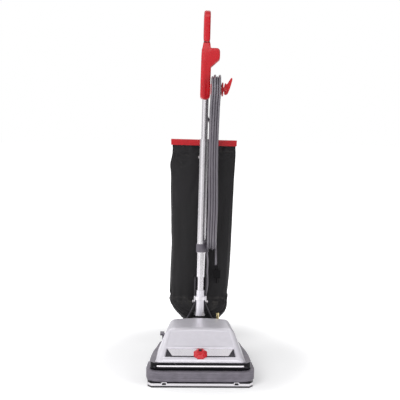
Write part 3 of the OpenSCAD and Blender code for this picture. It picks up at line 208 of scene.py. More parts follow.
def rope_path(points, step):
    """Hermite curve through the points, whose tangents weigh the chords on both sides, resampled at even
    steps of its length."""
    gap = np.linalg.norm(np.diff(points, axis=0), axis=1)
    slope = np.diff(points, axis=0) / gap[:, None]
    share = (gap[1:] / (gap[1:] + gap[:-1]))[:, None]
    slope = np.vstack([slope[:1], share * slope[:-1] + (1 - share) * slope[1:], slope[-1:]])
    t = np.linspace(0, 1, 12, endpoint=False)[None, :, None]
    a, b = points[:-1, None], points[1:, None]
    leave, reach = (slope[:-1] * gap[:, None])[:, None], (slope[1:] * gap[:, None])[:, None]
    curve = a * (2 * t**3 - 3 * t**2 + 1) + leave * (t**3 - 2 * t**2 + t)
    curve += b * (3 * t**2 - 2 * t**3) + reach * (t**3 - t**2)
    curve = np.vstack([curve.reshape(-1, 3), points[-1:]])
    length = line_length(curve)[-1]
    even = np.linspace(0, length, int(length / step) + 1)
    return along_line(curve, even), even


# ---------------------------------------------------------------- meshes
LAY = "Lay"  # UV map of cloth and cords, in metres


def add_object(name, mesh):
    """Object of a mesh, linked to the scene."""
    obj = bpy.data.objects.new(name, mesh)
    bpy.context.scene.collection.objects.link(obj)
    return obj


def smooth_object(name, points, faces, uv=None):
    """Smooth object of points and faces. Doubled points at poles are merged and every face is turned
    outward. uv holds a pair for each point, in metres."""
    mesh = bpy.data.meshes.new(name)
    mesh.from_pydata(points.reshape(-1, 3).tolist(), [], faces)
    if uv is not None:
        corner = np.zeros(len(mesh.loops), np.int32)
        mesh.loops.foreach_get("vertex_index", corner)
        layer = mesh.uv_layers.new(name=LAY)
        layer.data.foreach_set("uv", uv.reshape(-1, 2)[corner].astype(np.float32).ravel())
    work = bmesh.new()
    work.from_mesh(mesh)
    bmesh.ops.remove_doubles(work, verts=work.verts, dist=1e-6)
    bmesh.ops.dissolve_degenerate(work, edges=work.edges, dist=1e-7)
    bmesh.ops.recalc_face_normals(work, faces=work.faces)
    work.to_mesh(mesh)
    work.free()
    mesh.polygons.foreach_set("use_smooth", np.ones(len(mesh.polygons), bool))
    return add_object(name, mesh)


def grid_object(name, points, wrap_u=False, wrap_v=False, cap_u=False, uv=None):
    """Surface over a grid of points (rows u, columns v), joined round where a direction wraps. cap_u closes
    the first and last rows with one face each."""
    rows, columns = points.shape[:2]
    index = np.arange(rows * columns).reshape(rows, columns)
    if wrap_u:
        index = np.vstack([index, index[:1]])
    if wrap_v:
        index = np.hstack([index, index[:, :1]])
    quads = np.stack([index[:-1, :-1], index[1:, :-1], index[1:, 1:], index[:-1, 1:]], -1).reshape(-1, 4)
    faces = quads.tolist()
    if cap_u:
        faces += [index[0, :columns].tolist(), index[-1, :columns][::-1].tolist()]
    return smooth_object(name, points, faces, uv)


def prism_object(name, outline, low, high, place, bevel, segments=4):
    """Prism over an outline (a, b) between two depths c, put in the machine's frame by place(a, b, c), with
    its edges rounded by a Bevel modifier."""
    outline = np.asarray(outline, float)
    count = len(outline)
    points = place(np.vstack([np.column_stack([outline, np.full(count, depth)]) for depth in (low, high)]))
    ring = np.arange(count)
    after = (ring + 1) % count
    faces = np.stack([ring, after, after + count, ring + count], -1).tolist()
    faces += [ring[::-1].tolist(), (ring + count).tolist()]
    obj = smooth_object(name, points, faces)
    edge = obj.modifiers.new("Edge", "BEVEL")
    edge.width = bevel
    edge.segments = segments
    edge.limit_method = "ANGLE"
    edge.angle_limit = math.radians(25)
    edge.harden_normals = True
    return obj


def cord_object(name, path, along, radius, sides):
    """Tube of round rings along a path, closed at both ends, with UV of (distance round, distance along).
    Each ring is square to the path, and its first side direction is kept near X."""
    tangent = unit(np.gradient(path, axis=0))
    across = unit(np.array([1.0, 0.0, 0.0]) - tangent * tangent[:, :1])
    up = np.cross(tangent, across)
    angle = np.linspace(0, 2 * math.pi, sides + 1)
    ring = np.cos(angle)[None, :, None] * across[:, None] + np.sin(angle)[None, :, None] * up[:, None]
    points = path[:, None] + radius * ring
    points[:, -1] = points[:, 0]
    uv = np.stack(np.meshgrid(along, angle * radius, indexing="ij"), -1)[..., ::-1]
    return grid_object(name, points, cap_u=True, uv=uv)


def band_object(name, line, section, place, end_round):
    """Closed section (inset, height) carried along a line (a, b), where inset runs to the line's left. The
    section shrinks about its middle as sqrt(1 - (1 - d / end_round)^2) at a distance d from each end."""
    along = line_length(line)
    near = np.minimum(along, along[-1] - along)
    share = np.clip(near / end_round, 0.0, 1.0)
    size = np.maximum(0.02, np.sqrt(1 - (1 - share) ** 2))
    middle = section.mean(0)
    shrunk = middle + (section - middle)[None] * size[:, None, None]
    flat = line[:, None] + left_of(line)[:, None] * shrunk[..., :1]
    return grid_object(name, place(np.concatenate([flat, shrunk[..., 1:]], -1)), wrap_v=True, cap_u=True)


def pillow_object(name, loop, centre, seam, face, edge, crown, place):
    """Moulded shell over a closed outline (a, b) that is star-shaped about a centre: flat at the seam, up
    a straight side, over an edge rounded as a quarter circle of radius edge, and over a face at the depth
    face + crown(a, b). place takes (a, b, depth)."""
    turn = math.copysign(1.0, face - seam)
    rings = [(0.0, seam, 0.0)]
    for a in np.linspace(0, math.pi / 2, 9):
        rings.append((edge * (1 - math.cos(a)), face - turn * edge * (1 - math.sin(a)), math.sin(a)))
    layers = []
    for inset, depth, share in rings:
        ring = smooth_loop(inset_loop(loop, inset), int(3000 * inset))
        layers.append(np.column_stack([ring, depth + share * crown(ring[:, 0], ring[:, 1])]))
    last = layers[-1][:, :2]
    for share in (0.86, 0.7, 0.54, 0.38, 0.22, 0.08, 0.0):
        ring = centre + (last - centre) * share
        layers.append(np.column_stack([ring, face + crown(ring[:, 0], ring[:, 1])]))
    for share in (0.5, 1.0):
        flat = centre + (loop - centre) * (1 - share)
        layers.insert(0, np.column_stack([flat, np.full(len(loop), seam)]))
    return grid_object(name, place(np.stack(layers)), wrap_v=True)


def lathe_object(name, profile, place, count=64, lobes=0, lobe_depth=0.0, shape=None):
    """Turned piece from a profile of (radius, depth), with its radius swelling by lobe_depth in a number of
    lobes. shape may move the points (a, b, depth) before they are placed."""
    angle = around(count)
    swell = 1 + lobe_depth * np.cos(lobes * angle + math.pi)
    radius = profile[:, :1] * swell
    depth = np.repeat(profile[:, 1:], count, 1)
    points = np.stack([radius * np.sin(angle), radius * np.cos(angle), depth], -1)
    return grid_object(name, place(points if shape is None else shape(points)), wrap_v=True)


# ---------------------------------------------------------------- shader groups
def put(tree, kind, sockets=None, **settings):
    """Adds a shader node, sets its settings, and sets or links each given input."""
    node = tree.nodes.new(kind)
    for name, value in settings.items():
        setattr(node, name, value)
    for key, value in (sockets or {}).items():
        if isinstance(value, bpy.types.NodeSocket):
            tree.links.new(value, node.inputs[key])
        else:
            node.inputs[key].default_value = value
    return node


def maths(tree, operation, a, b=0.0):
    """One sum of two values."""
    return put(tree, "ShaderNodeMath", {0: a, 1: b}, operation=operation).outputs[0]


def noise(tree, vector, scale, detail):
    """Noise about 0.5 over a vector."""
    return put(tree, "ShaderNodeTexNoise", {"Vector": vector, "Scale": scale, "Detail": detail}).outputs[0]


def mix_value(tree, factor, a, b):
    """Value a where factor is 0 and b where it is 1."""
    return put(tree, "ShaderNodeMix", {0: factor, 2: a, 3: b}, data_type="FLOAT").outputs[0]


def mix_colour(tree, factor, a, b):
    """Colour a where factor is 0 and b where it is 1."""
    return put(tree, "ShaderNodeMix", {0: factor, 6: a, 7: b}, data_type="RGBA").outputs[2]


def ramp_between(tree, value, low, high):
    """0 below low, 1 above high, and smooth between them."""
    sockets = {0: value, 1: low, 2: high}
    return put(tree, "ShaderNodeMapRange", sockets, interpolation_type="SMOOTHSTEP").outputs[0]


def bump_of(tree, height, depth, strength=1.0, over=None):
    """Normal of a bump whose depth is in millimetres, laid over another normal where one is given."""
    sockets = {"Strength": strength, "Distance": depth * MM, "Height": height}
    if over is not None:
        sockets["Normal"] = over
    return put(tree, "ShaderNodeBump", sockets).outputs[0]


def new_group(name, values, outputs):
    """Empty shader node group with a Vector input, value inputs with defaults, and value outputs."""
    group = bpy.data.node_groups.new(name, "ShaderNodeTree")
    group.interface.new_socket(name="Vector", in_out="INPUT", socket_type="NodeSocketVector")
    for label, default in values.items():
        socket = group.interface.new_socket(name=label, in_out="INPUT", socket_type="NodeSocketFloat")
        socket.default_value = default
    for label in outputs:
        group.interface.new_socket(name=label, in_out="OUTPUT", socket_type="NodeSocketFloat")
    return group, put(group, "NodeGroupInput").outputs, put(group, "NodeGroupOutput").inputs


def build_grain():
    """Mottle is broad noise about 0.5; Height is fine noise for a bump, both at the given scale."""
    group, given, out = new_group("Grain", {"Scale": 400.0, "Detail": 3.0}, ("Mottle", "Height"))
    broad_scale = maths(group, "MULTIPLY", given[1], 0.04)
    group.links.new(noise(group, given[0], broad_scale, 4.0), out[0])
    group.links.new(noise(group, given[0], given[1], given[2]), out[1])
    return group


def build_dust():
    """Mask of dust that lies on faces turned up, broken by noise, times Amount."""
    group, given, out = new_group("Dust", {"Amount": 0.2}, ("Mask",))
    normal = put(group, "ShaderNodeNewGeometry").outputs["Normal"]
    up = put(group, "ShaderNodeSeparateXYZ", {0: normal}).outputs[2]
    broken = ramp_between(group, noise(group, given[0], 45.0, 6.0), 0.4, 0.75)
    both = maths(group, "MULTIPLY", ramp_between(group, up, 0.2, 1.0), broken)
    group.links.new(maths(group, "MULTIPLY", both, given[1]), out[0])
    return group


def build_scuffs():
    """Mask of fine, broken scratches: two stretched noises at an angle, kept where a broad noise is high."""
    group, given, out = new_group("Scuffs", {"Amount": 0.5}, ("Mask",))
    lines = []
    for turn in (0.5, -1.1):
        sockets = {0: given[0], 2: (0.3, turn, turn), 3: (900.0, 30.0, 500.0)}
        turned = put(group, "ShaderNodeMapping", sockets).outputs[0]
        lines.append(ramp_between(group, noise(group, turned, 1.0, 2.0), 0.68, 0.74))
    place = ramp_between(group, noise(group, given[0], 14.0, 3.0), 0.5, 0.7)
    kept = maths(group, "MULTIPLY", maths(group, "MAXIMUM", lines[0], lines[1]), place)
    group.links.new(maths(group, "MULTIPLY", kept, given[1]), out[0])
    return group


def build_streaks():
    """Fine lines along the second axis of Vector, for drawn tube and brushed plate: noise squeezed in the
    other two directions."""
    group, given, out = new_group("Streaks", {"Fineness": 900.0}, ("Line",))
    stretch = put(group, "ShaderNodeCombineXYZ", {0: given[1], 1: 6.0, 2: given[1]}).outputs[0]
    squeezed = put(group, "ShaderNodeVectorMath", {0: given[0], 1: stretch}, operation="MULTIPLY").outputs[0]
    group.links.new(noise(group, squeezed, 1.0, 3.0), out[0])
    return group


def build_weave():
    """Plain weave over Vector's x and y: threads are rounded ridges, each raised over every second one of
    the other set. Height is the weave's relief and Gap is 1 in the holes between threads."""
    group, given, out = new_group("Weave", {"Threads": 900.0}, ("Height", "Gap"))
    scaled = put(group, "ShaderNodeVectorMath", {0: given[0], 3: given[1]}, operation="SCALE").outputs[0]
    place = put(group, "ShaderNodeSeparateXYZ", {0: scaled}).outputs
    waves = [maths(group, "SINE", maths(group, "MULTIPLY", place[k], 2 * np.pi)) for k in (0, 1)]
    ridges = [maths(group, "ABSOLUTE", wave) for wave in waves]
    over = maths(group, "GREATER_THAN", maths(group, "MULTIPLY", waves[0], waves[1]), 0.0)
    group.links.new(mix_value(group, over, ridges[0], ridges[1]), out[0])
    low = maths(group, "MAXIMUM", ridges[0], ridges[1])
    group.links.new(maths(group, "LESS_THAN", low, 0.35), out[1])
    return group


GROUPS = {}


def make_groups():
    """Builds each shared node group once."""
    GROUPS.update(
        Grain=build_grain(), Dust=build_dust(), Scuffs=build_scuffs(),
        Streaks=build_streaks(), Weave=build_weave(),
    )


def use_group(tree, name, sockets):
    """Outputs of a shared group placed in a material."""
    return put(tree, "ShaderNodeGroup", sockets, node_tree=GROUPS[name]).outputs


# ---------------------------------------------------------------- materials
DUST = (0.42, 0.39, 0.36, 1.0)
WHITE = (1.0, 1.0, 1.0, 1.0)
MATERIALS = {}


def linear(code):
    """Linear colour with alpha of a #rrggbb code."""
    parts = [int(code[i : i + 2], 16) / 255 for i in (1, 3, 5)]
    return tuple(c / 12.92 if c <= 0.04045 else ((c + 0.055) / 1.055) ** 2.4 for c in parts) + (1.0,)


def toned(colour, gain, lift=0.0):
    """Linear colour with each part times gain, plus lift."""
    return tuple(min(1.0, c * gain + lift) for c in colour[:3]) + (1.0,)


def start_material(name, **constants):
    """New material with a Principled shader whose constant sockets are set on the shader itself. A socket's
    name has _ for its spaces."""
    material = bpy.data.materials.new(name)
    material.use_nodes = True
    shader = material.node_tree.nodes["Principled BSDF"]
    for key, value in constants.items():
        shader.inputs[key.replace("_", " ")].default_value = value
    MATERIALS[name] = material
    return material.node_tree, shader


def link_finish(tree, shader, colour, rough, normal):
    """Links a finish's colour, roughness and normal to its shader."""
    for socket, value in (("Base Color", colour), ("Roughness", rough), ("Normal", normal)):
        tree.links.new(value, shader.inputs[socket])


def object_coordinates(tree, turn=(0.0, 0.0, 0.0)):
    """Object coordinates, turned by Euler angles where a pattern follows a leaning piece."""
    place = put(tree, "ShaderNodeTexCoord").outputs["Object"]
    if any(turn):
        place = put(tree, "ShaderNodeMapping", {0: place, 2: turn}).outputs[0]
    return place


def solid_finish(
    name, colour, second, rough, grain=600.0, bump=0.04, dust=0.15, scuff=0.3, metal=0.0, specular=0.5
):
    """Paint, plastic, rubber or cast metal. Colour goes over to second by broad noise, scuffs and dust
    lighten it and roughen it, and fine grain gives its bump. bump is in millimetres."""
    tree, shader = start_material(name, Metallic=metal, Specular_IOR_Level=specular)
    place = object_coordinates(tree)
    mottle, fine = use_group(tree, "Grain", {0: place, 1: grain, 2: 3.0})
    dusty = use_group(tree, "Dust", {0: place, 1: dust})[0]
    scuffed = use_group(tree, "Scuffs", {0: place, 1: scuff})[0]
    blend = ramp_between(tree, mottle, 0.3, 0.7)
    base = mix_colour(tree, blend, linear(colour), linear(second))
    pale = mix_colour(tree, scuffed, base, toned(linear(colour), 1.6, 0.03))
    worn = mix_value(tree, blend, rough * 0.88, min(1.0, rough * 1.12))
    worn = mix_value(tree, scuffed, worn, min(1.0, rough + 0.25))
    worn = mix_value(tree, dusty, worn, 0.85)
    link_finish(tree, shader, mix_colour(tree, dusty, pale, DUST), worn, bump_of(tree, fine, bump))


def drawn_finish(name, colour, second, rough, turn=(0.0, 0.0, 0.0), fineness=900.0, bump=0.01, dust=0.1):
    """Drawn or brushed bare metal, with fine lines along the turned Y axis."""
    tree, shader = start_material(name, Metallic=1.0)
    place = object_coordinates(tree, turn)
    line = use_group(tree, "Streaks", {0: place, 1: fineness})[0]
    mottle = use_group(tree, "Grain", {0: place, 1: 500.0, 2: 3.0})[0]
    dusty = use_group(tree, "Dust", {0: place, 1: dust})[0]
    scuffed = use_group(tree, "Scuffs", {0: place, 1: 0.12})[0]
    base = mix_colour(tree, ramp_between(tree, mottle, 0.3, 0.7), linear(colour), linear(second))
    worn = mix_value(tree, line, rough * 0.85, rough * 1.15)
    worn = mix_value(tree, scuffed, worn, min(1.0, rough + 0.2))
    worn = mix_value(tree, dusty, worn, 0.7)
    link_finish(tree, shader, mix_colour(tree, dusty, base, DUST), worn, bump_of(tree, line, bump))


def cloth_finish(name, colour, second, threads):
    """Woven cloth on the piece's own UV, with painted shade in the gaps between the threads, lint and a soft
    sheen.
    """
    tree, shader = start_material(
        name, Sheen_Weight=0.16, Sheen_Roughness=0.4, Sheen_Tint=linear("#b9b2bd"), Specular_IOR_Level=0.3
    )
    place = object_coordinates(tree)
    lay = put(tree, "ShaderNodeUVMap", uv_map=LAY).outputs[0]
    height, gap = use_group(tree, "Weave", {0: lay, 1: threads})
    mottle, fine = use_group(tree, "Grain", {0: place, 1: 260.0, 2: 5.0})
    dusty = use_group(tree, "Dust", {0: place, 1: 0.25})[0]
    base = mix_colour(tree, ramp_between(tree, mottle, 0.25, 0.75), linear(colour), linear(second))
    # Painted shade: the holes between the threads are darkened to about a third of the cloth's colour
    painted_gap_shade = mix_colour(tree, gap, base, toned(linear(colour), 0.35))
    crumple = bump_of(tree, mottle, 0.6, 0.4, bump_of(tree, height, 0.15, 0.5))
    final = mix_colour(tree, dusty, painted_gap_shade, DUST)
    link_finish(tree, shader, final, mix_value(tree, fine, 0.5, 0.7), crumple)


def cord_finish(name, colour, second):
    """Moulded rubber sheath: faint rings across the cord and rubbed, lighter patches along it."""
    tree, shader = start_material(name, Specular_IOR_Level=0.8)
    lay = put(tree, "ShaderNodeUVMap", uv_map=LAY).outputs[0]
    mottle, fine = use_group(tree, "Grain", {0: lay, 1: 700.0, 2: 3.0})
    base = mix_colour(tree, ramp_between(tree, mottle, 0.35, 0.7), linear(colour), linear(second))
    rings = put(tree, "ShaderNodeTexWave", {0: lay, 1: 260.0, 2: 0.6}, bands_direction="Y").outputs[1]
    relief = bump_of(tree, fine, 0.01, 0.2, bump_of(tree, rings, 0.02, 0.15))
    link_finish(tree, shader, base, mix_value(tree, mottle, 0.24, 0.36), relief)


def banded_finish(name, colour, second, rough, period, turn, metal=1.0):
    """Stacked sheets, windings or commutator bars: narrow bands of two colours along the turned X axis."""
    tree, shader = start_material(name, Metallic=metal)
    place = object_coordinates(tree, turn)
    bands = put(tree, "ShaderNodeTexWave", {0: place, 1: 1.0 / (math.pi * period), 2: 0.3}).outputs[1]
    mottle = use_group(tree, "Grain", {0: place, 1: 500.0, 2: 3.0})[0]
    base = mix_colour(tree, bands, linear(colour), linear(second))
    worn = mix_value(tree, mottle, rough * 0.8, rough * 1.2)
    link_finish(tree, shader, base, worn, bump_of(tree, bands, 0.2, 0.6))


def banded_edge(name, dark, silver, heights, rough):
    """Dark colour, with bright metal between two heights: dark paint on the bail, painted shade on the sole
    plate. Heights are in millimetres: the start and end of the lower change, then of the upper one."""
    tree, shader = start_material(name, Roughness=rough)
    high = put(tree, "ShaderNodeSeparateXYZ", {0: object_coordinates(tree)}).outputs[2]
    low = ramp_between(tree, high, heights[0] * MM, heights[1] * MM)
    top = ramp_between(tree, high, heights[3] * MM, heights[2] * MM)
    band = maths(tree, "MULTIPLY", low, top)
    tree.links.new(mix_colour(tree, band, linear(dark), linear(silver)), shader.inputs["Base Color"])
    tree.links.new(band, shader.inputs["Metallic"])


def make_materials():
    """Every finish of the machine, named as the record's material slots are."""
    quarter = math.radians(90)
    tube_turn = (quarter + LEAN, 0.0, 0.0)
    # Paint, plastic, rubber and castings
    solid_finish("housing_paint", "#77727c", "#6b6670", 0.42, grain=900.0, bump=0.03, metal=0.2)
    solid_finish("bumper_vinyl", "#7a757f", "#6d6872", 0.5, grain=1100.0, bump=0.03, scuff=0.6)
    solid_finish(
        "black_gloss", "#08060b", "#0b090f", 0.16,
        grain=500.0, bump=0.001, dust=0.03, scuff=0.1, specular=0.12,
    )
    solid_finish(
        "hood_silver", "#dedbe3", "#dad7df", 0.34,
        grain=1600.0, bump=0.0008, metal=0.35, dust=0.02, scuff=0.03,
    )
    solid_finish("motor_grey", "#8f8c94", "#7f7c84", 0.45, grain=700.0, bump=0.08, metal=0.8)
    solid_finish("carbon", "#1e1d20", "#28262a", 0.6, grain=1500.0, bump=0.03)
    solid_finish("black_rubber", "#1f1d20", "#29262a", 0.55, grain=1200.0, bump=0.05)
    solid_finish("bristle", "#17151a", "#221f24", 0.5, grain=2500.0, bump=0.2)
    solid_finish(
        "black_plastic", "#17151a", "#121014", 0.42,
        grain=1400.0, bump=0.02, dust=0.06, specular=0.3,
    )
    solid_finish("wheel_grey", "#4b484d", "#3d3a40", 0.6, grain=1000.0, bump=0.06, scuff=0.6)
    solid_finish("red_gloss", "#c91a26", "#c31722", 0.22, grain=1500.0, bump=0.0015, dust=0.02, scuff=0.08)
    solid_finish("red_knob", "#cb1021", "#c20d1d", 0.2, grain=1500.0, bump=0.0015, dust=0.02, scuff=0.05)
    solid_finish("black_paint", "#151318", "#1b191e", 0.3, grain=800.0, bump=0.004, dust=0.04, specular=0.35)
    solid_finish("collar_rubber", "#68636c", "#5a555e", 0.55, grain=900.0, bump=0.1)
    solid_finish("plug_rubber", "#0c0b0d", "#080709", 0.6, dust=0.03, scuff=0.1, specular=0.15)
    # Painted shade: dark finish for the sheet in the name plate's recess, where its ends and lower edge lie
    # in shadow
    solid_finish("painted_recess_shade", "#2b2833", "#1d1a24", 0.4, grain=1200.0, bump=0.01, dust=0.05)
    solid_finish("dark_screw", "#3a383e", "#2c2a30", 0.35, grain=1500.0, bump=0.01, metal=0.8, dust=0.1)
    # Bare metal
    drawn_finish("bright_plate", "#e9e6ea", "#e2dfe4", 0.14, fineness=500.0, bump=0.001, dust=0.03)
    drawn_finish("zinc_steel", "#b9b4b4", "#a39fa4", 0.38, fineness=700.0, bump=0.02)
    drawn_finish("name_silver", "#e9e6eb", "#e2dfe5", 0.2, (0.0, 0.0, quarter), bump=0.001, dust=0.03)
    drawn_finish("rotor_steel", "#a8a4a8", "#8e8a90", 0.3, fineness=600.0)
    drawn_finish("post_brass", "#d8c99a", "#c2b283", 0.3, (quarter, 0.0, 0.0), fineness=600.0)
    drawn_finish("tube_chrome", "#dedbdf", "#d9d6da", 0.27, tube_turn, 700.0, bump=0.0002, dust=0.02)
    drawn_finish("socket_silver", "#dedbe1", "#d8d5dc", 0.38, tube_turn, 400.0, bump=0.0004, dust=0.02)
    # Bands
    banded_finish("lamination", "#6f6468", "#4a4346", 0.5, 0.5 * MM, (0.0, 0.0, quarter))
    banded_finish("copper", "#b5713f", "#8c5028", 0.35, 1.5 * MM, (0.0, 0.0, 0.0))
    banded_finish("roll_wood", "#8a5a3a", "#6f4429", 0.55, 4 * MM, (0.0, quarter, 0.0), metal=0.0)
    # Sole plate: bright steel band along the front lip, painted dark above and below it as shade in the gap
    # under the bumper, in the groove and against the floor
    banded_edge("sole_steel_and_painted_shade", "#1c1a1f", "#e9e6ea", (5.6, 6.0, 13.6, 14.0), 0.2)
    banded_edge("bail_paint", "#3a373d", "#e0dde2", (198, 198.5, 217, 217.5), 0.3)
    # Cords and cloth
    cord_finish("cord_sheath", "#706b73", "#666169")
    cloth_finish("bag_cloth", "#161417", "#100f11", 700.0)


def dress(obj, body, slot, replaced=(), material=None):
    """Gives a new piece its finish and its body if one carries it whole, and hides the frame nodes it stands
    for.
    """
    obj.data.materials.clear()
    obj.data.materials.append(MATERIALS[material or slot])
    if body:
        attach(obj, body)
    if replaced:
        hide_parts(*replaced)


# ---------------------------------------------------------------- cords
class CordSettings(bpy.types.PropertyGroup):
    """Mains cord and motor lead."""

    diameter: bpy.props.FloatProperty(
        name="Diameter", description="Diameter of the mains cord", default=7.7 * MM, unit="LENGTH"
    )
    lead_diameter: bpy.props.FloatProperty(
        name="Lead diameter", description="Diameter of the lead down to the motor", default=7.6 * MM,
        unit="LENGTH",
    )
    sway: bpy.props.FloatProperty(
        name="Sway", description="Sideways sway of the hank along its runs", default=1.6 * MM, unit="LENGTH"
    )


RING_COUNT = 24
LOOPS = 3
LAYERS = 4
LOOP_IN = 23.2 * MM
LOOP_OUT = 49.3 * MM
LOOP_PITCH = 8.7 * MM
LAYER_PITCH = 8.3 * MM
HANK_X = 25 * MM
HANK_U = -18 * MM
HANK_TOP = 842 * MM
HANK_LOW = 343 * MM
# Heights along the handle and how far the hank's strands lie to the left of their loops there, in mm
SLIP_W = (300, 343, 780, 830, 890)
SLIP_X = (4.2, 4.2, 5.8, 3.2, 3.0)
LEAD_POINTS = [
    (0.005, 0.019, 0.773), (0.005, 0.019, 0.766), (0.006, 0.0194, 0.759), (0.008, 0.021, 0.752),
    (0.011, 0.0234, 0.745), (0.015, 0.0262, 0.738), (0.019, 0.0286, 0.731), (0.022, 0.0303, 0.725),
]
TAIL_POINTS = [
    (0.0499, 0.0329, 0.4277), (0.0499, 0.0329, 0.42), (0.0499, 0.0329, 0.408), (0.0502, 0.033, 0.39),
    (0.0508, 0.033, 0.37), (0.0516, 0.0326, 0.35), (0.0526, 0.0316, 0.33), (0.0536, 0.0296, 0.31),
    (0.0546, 0.0268, 0.29), (0.0554, 0.024, 0.272), (0.056, 0.022, 0.258), (0.056, 0.021, 0.246),
    (0.056, 0.021, 0.236),
]
MOTOR_LEAD_POINTS = [
    (0.0198, 0.005, 0.2897), (0.0198, 0.005, 0.278), (0.021, 0.006, 0.268), (0.0224, 0.0076, 0.256),
    (0.0228, 0.01, 0.242), (0.0224, 0.0126, 0.228), (0.0224, 0.0146, 0.214), (0.0234, 0.0166, 0.198),
    (0.024, 0.018, 0.182), (0.0236, 0.019, 0.164), (0.0216, 0.02, 0.148), (0.019, 0.0208, 0.132),
    (0.0154, 0.0208, 0.116), (0.0126, 0.0194, 0.1), (0.012, 0.0182, 0.088), (0.012, 0.0182, 0.076),
]


def hank_points():
    """Points of the hank in the tube's frame. Each loop has a run down at the back, a bottom arc, a run up
    at the front and a top arc. The radius shrinks and grows at a steady rate, three loops to a layer, and
    the cord climbs to the next layer in the run down where the spiral turns."""
    i = np.arange(1, LOOPS * LAYERS * RING_COUNT)
    k = i % RING_COUNT
    turn = i / RING_COUNT
    layer = np.floor(turn / LOOPS).astype(int)
    share = turn - layer * LOOPS
    radius = np.where(layer % 2 == 0, LOOP_OUT - LOOP_PITCH * share, LOOP_IN + LOOP_PITCH * share)
    inside = i - layer * LOOPS * RING_COUNT
    climb = np.where((layer > 0) & (inside < 4), layer - 1 + inside / 4, layer)
    angle = np.select([k <= 4, k <= 12, k < 16], [0.0, -22.5 * (k - 4), 180.0], 180 - 22.5 * (k - 16))
    quarter = (HANK_TOP - HANK_LOW) / 4
    heights = [HANK_TOP - quarter * k, HANK_LOW, HANK_LOW + quarter * (k - 12)]
    centre = np.select([k <= 4, k <= 12, k < 16], heights, HANK_TOP)
    a = np.radians(angle)
    back, high = HANK_U + radius * np.cos(a), centre + radius * np.sin(a)
    return np.stack([HANK_X + LAYER_PITCH * climb, back, high], -1)


class VACUUM_OT_cords(bpy.types.Operator):
    """Mains cord from the strain relief through its hank to the plug, and the lead down to the motor"""

    bl_idname = "vacuum.cords"
    bl_label = "Cords"

    def execute(self, context):
        values = context.scene.vacuum_cords
        hank = hank_points()
        hank_end = np.array([HANK_X + LAYER_PITCH * (LAYERS - 1), HANK_U + LOOP_OUT, HANK_TOP])
        lead_end = hank[0] + np.array([0.0, 0.0, 0.005])
        points = np.vstack([LEAD_POINTS, lead_end, hank, hank_end, TAIL_POINTS])
        path, along = rope_path(points, 9 * MM)
        # The whole hank sways together, most in the middle of its runs
        high = (path[:, 2] - HANK_LOW) / (HANK_TOP - HANK_LOW)
        hold = smooth_step(high / 0.2) * smooth_step((1 - high) / 0.2)
        path[:, 0] += values.sway * hold * np.sin(7.2 * high + 0.4)
        slip = np.interp(path[:, 2] / MM, SLIP_W, SLIP_X) * MM
        path[:, 0] -= slip * smooth_step((path[:, 0] - 18 * MM) / (8 * MM))
        world = tube_place(path)
        cord = cord_object("mains_cord", world, along, values.diameter / 2, 12)
        dress(cord, "handle", "cord_sheath", ("cord_lead", "cord_hank", "cord_tail"))
        path, along = rope_path(np.array(MOTOR_LEAD_POINTS), 4 * MM)
        world = tube_place(path)
        lead = cord_object("motor_lead_flex", world, along, values.lead_diameter / 2, 16)
        dress(lead, "handle", "cord_sheath", ("motor_lead",))
        return {"FINISHED"}


# ---------------------------------------------------------------- hood
class HoodSettings(bpy.types.PropertyGroup):
    """Cast hood, its name plate and the height dial."""

    crown: bpy.props.FloatProperty(
        name="Crown", description="Rise of the ridge at its middle", default=4.5 * MM, unit="LENGTH"
    )
    recess: bpy.props.FloatProperty(
        name="Recess", description="Depth of the name plate's recess", default=4 * MM, unit="LENGTH"
    )
    panel: bpy.props.FloatProperty(
        name="Panel", description="Depth of the flat panel inside the slope's raised border",
        default=1.0 * MM, unit="LENGTH",
    )
    roll: bpy.props.FloatProperty(
        name="Roll", description="Height of the rolled bar along the hood's front", default=2.6 * MM,
        unit="LENGTH",
    )
    shoulder: bpy.props.FloatProperty(
        name="Shoulder", description="Reach of the rounding along the hood's sides", default=4 * MM,
        unit="LENGTH",
    )
    bevel: bpy.props.FloatProperty(
        name="Bevel", description="Width of the bevel between the hood's top and its sides",
        default=12 * MM, unit="LENGTH",
    )
    dial: bpy.props.FloatProperty(
        name="Dial", description="Radius of the height dial", default=22.6 * MM, unit="LENGTH"
    )


HOOD_FOOT = 76.3 * MM
HOOD_N = np.array([20, 140, 230, 262]) * MM
HOOD_HALF = np.array([140.5, 113, 102.7, 99]) * MM
HOOD_FOOT_HALF = np.array([145.5, 140, 122.2, 105]) * MM
HOOD_MIDDLE = np.array([(20, 83), (140, 150), (262, 150)]) * MM
SLOPE_START = 6.7 * MM  # of the hood's middle line, after the short front wall
RECESS_LOW, RECESS_HIGH = 17.3 * MM, 55.5 * MM
RECESS_HALF_LOW, RECESS_HALF_HIGH = 115 * MM, 109.5 * MM
PANEL_LOW_UP, PANEL_HIGH_UP = RECESS_HIGH + 6 * MM, 129 * MM
RIDGE_UP, BACK_UP, FOOT_UP = 137.4 * MM, 259.4 * MM, 333.1 * MM
WALL = 6.5 * MM
CORNER = 20 * MM  # radius of the hood's corners seen from above
# Shares of a half row where the top, the bevel and the side begin and end, with the bends between them
TOP_END, BEVEL_START, BEVEL_END, SIDE_START = 0.62, 0.72, 0.78, 0.9


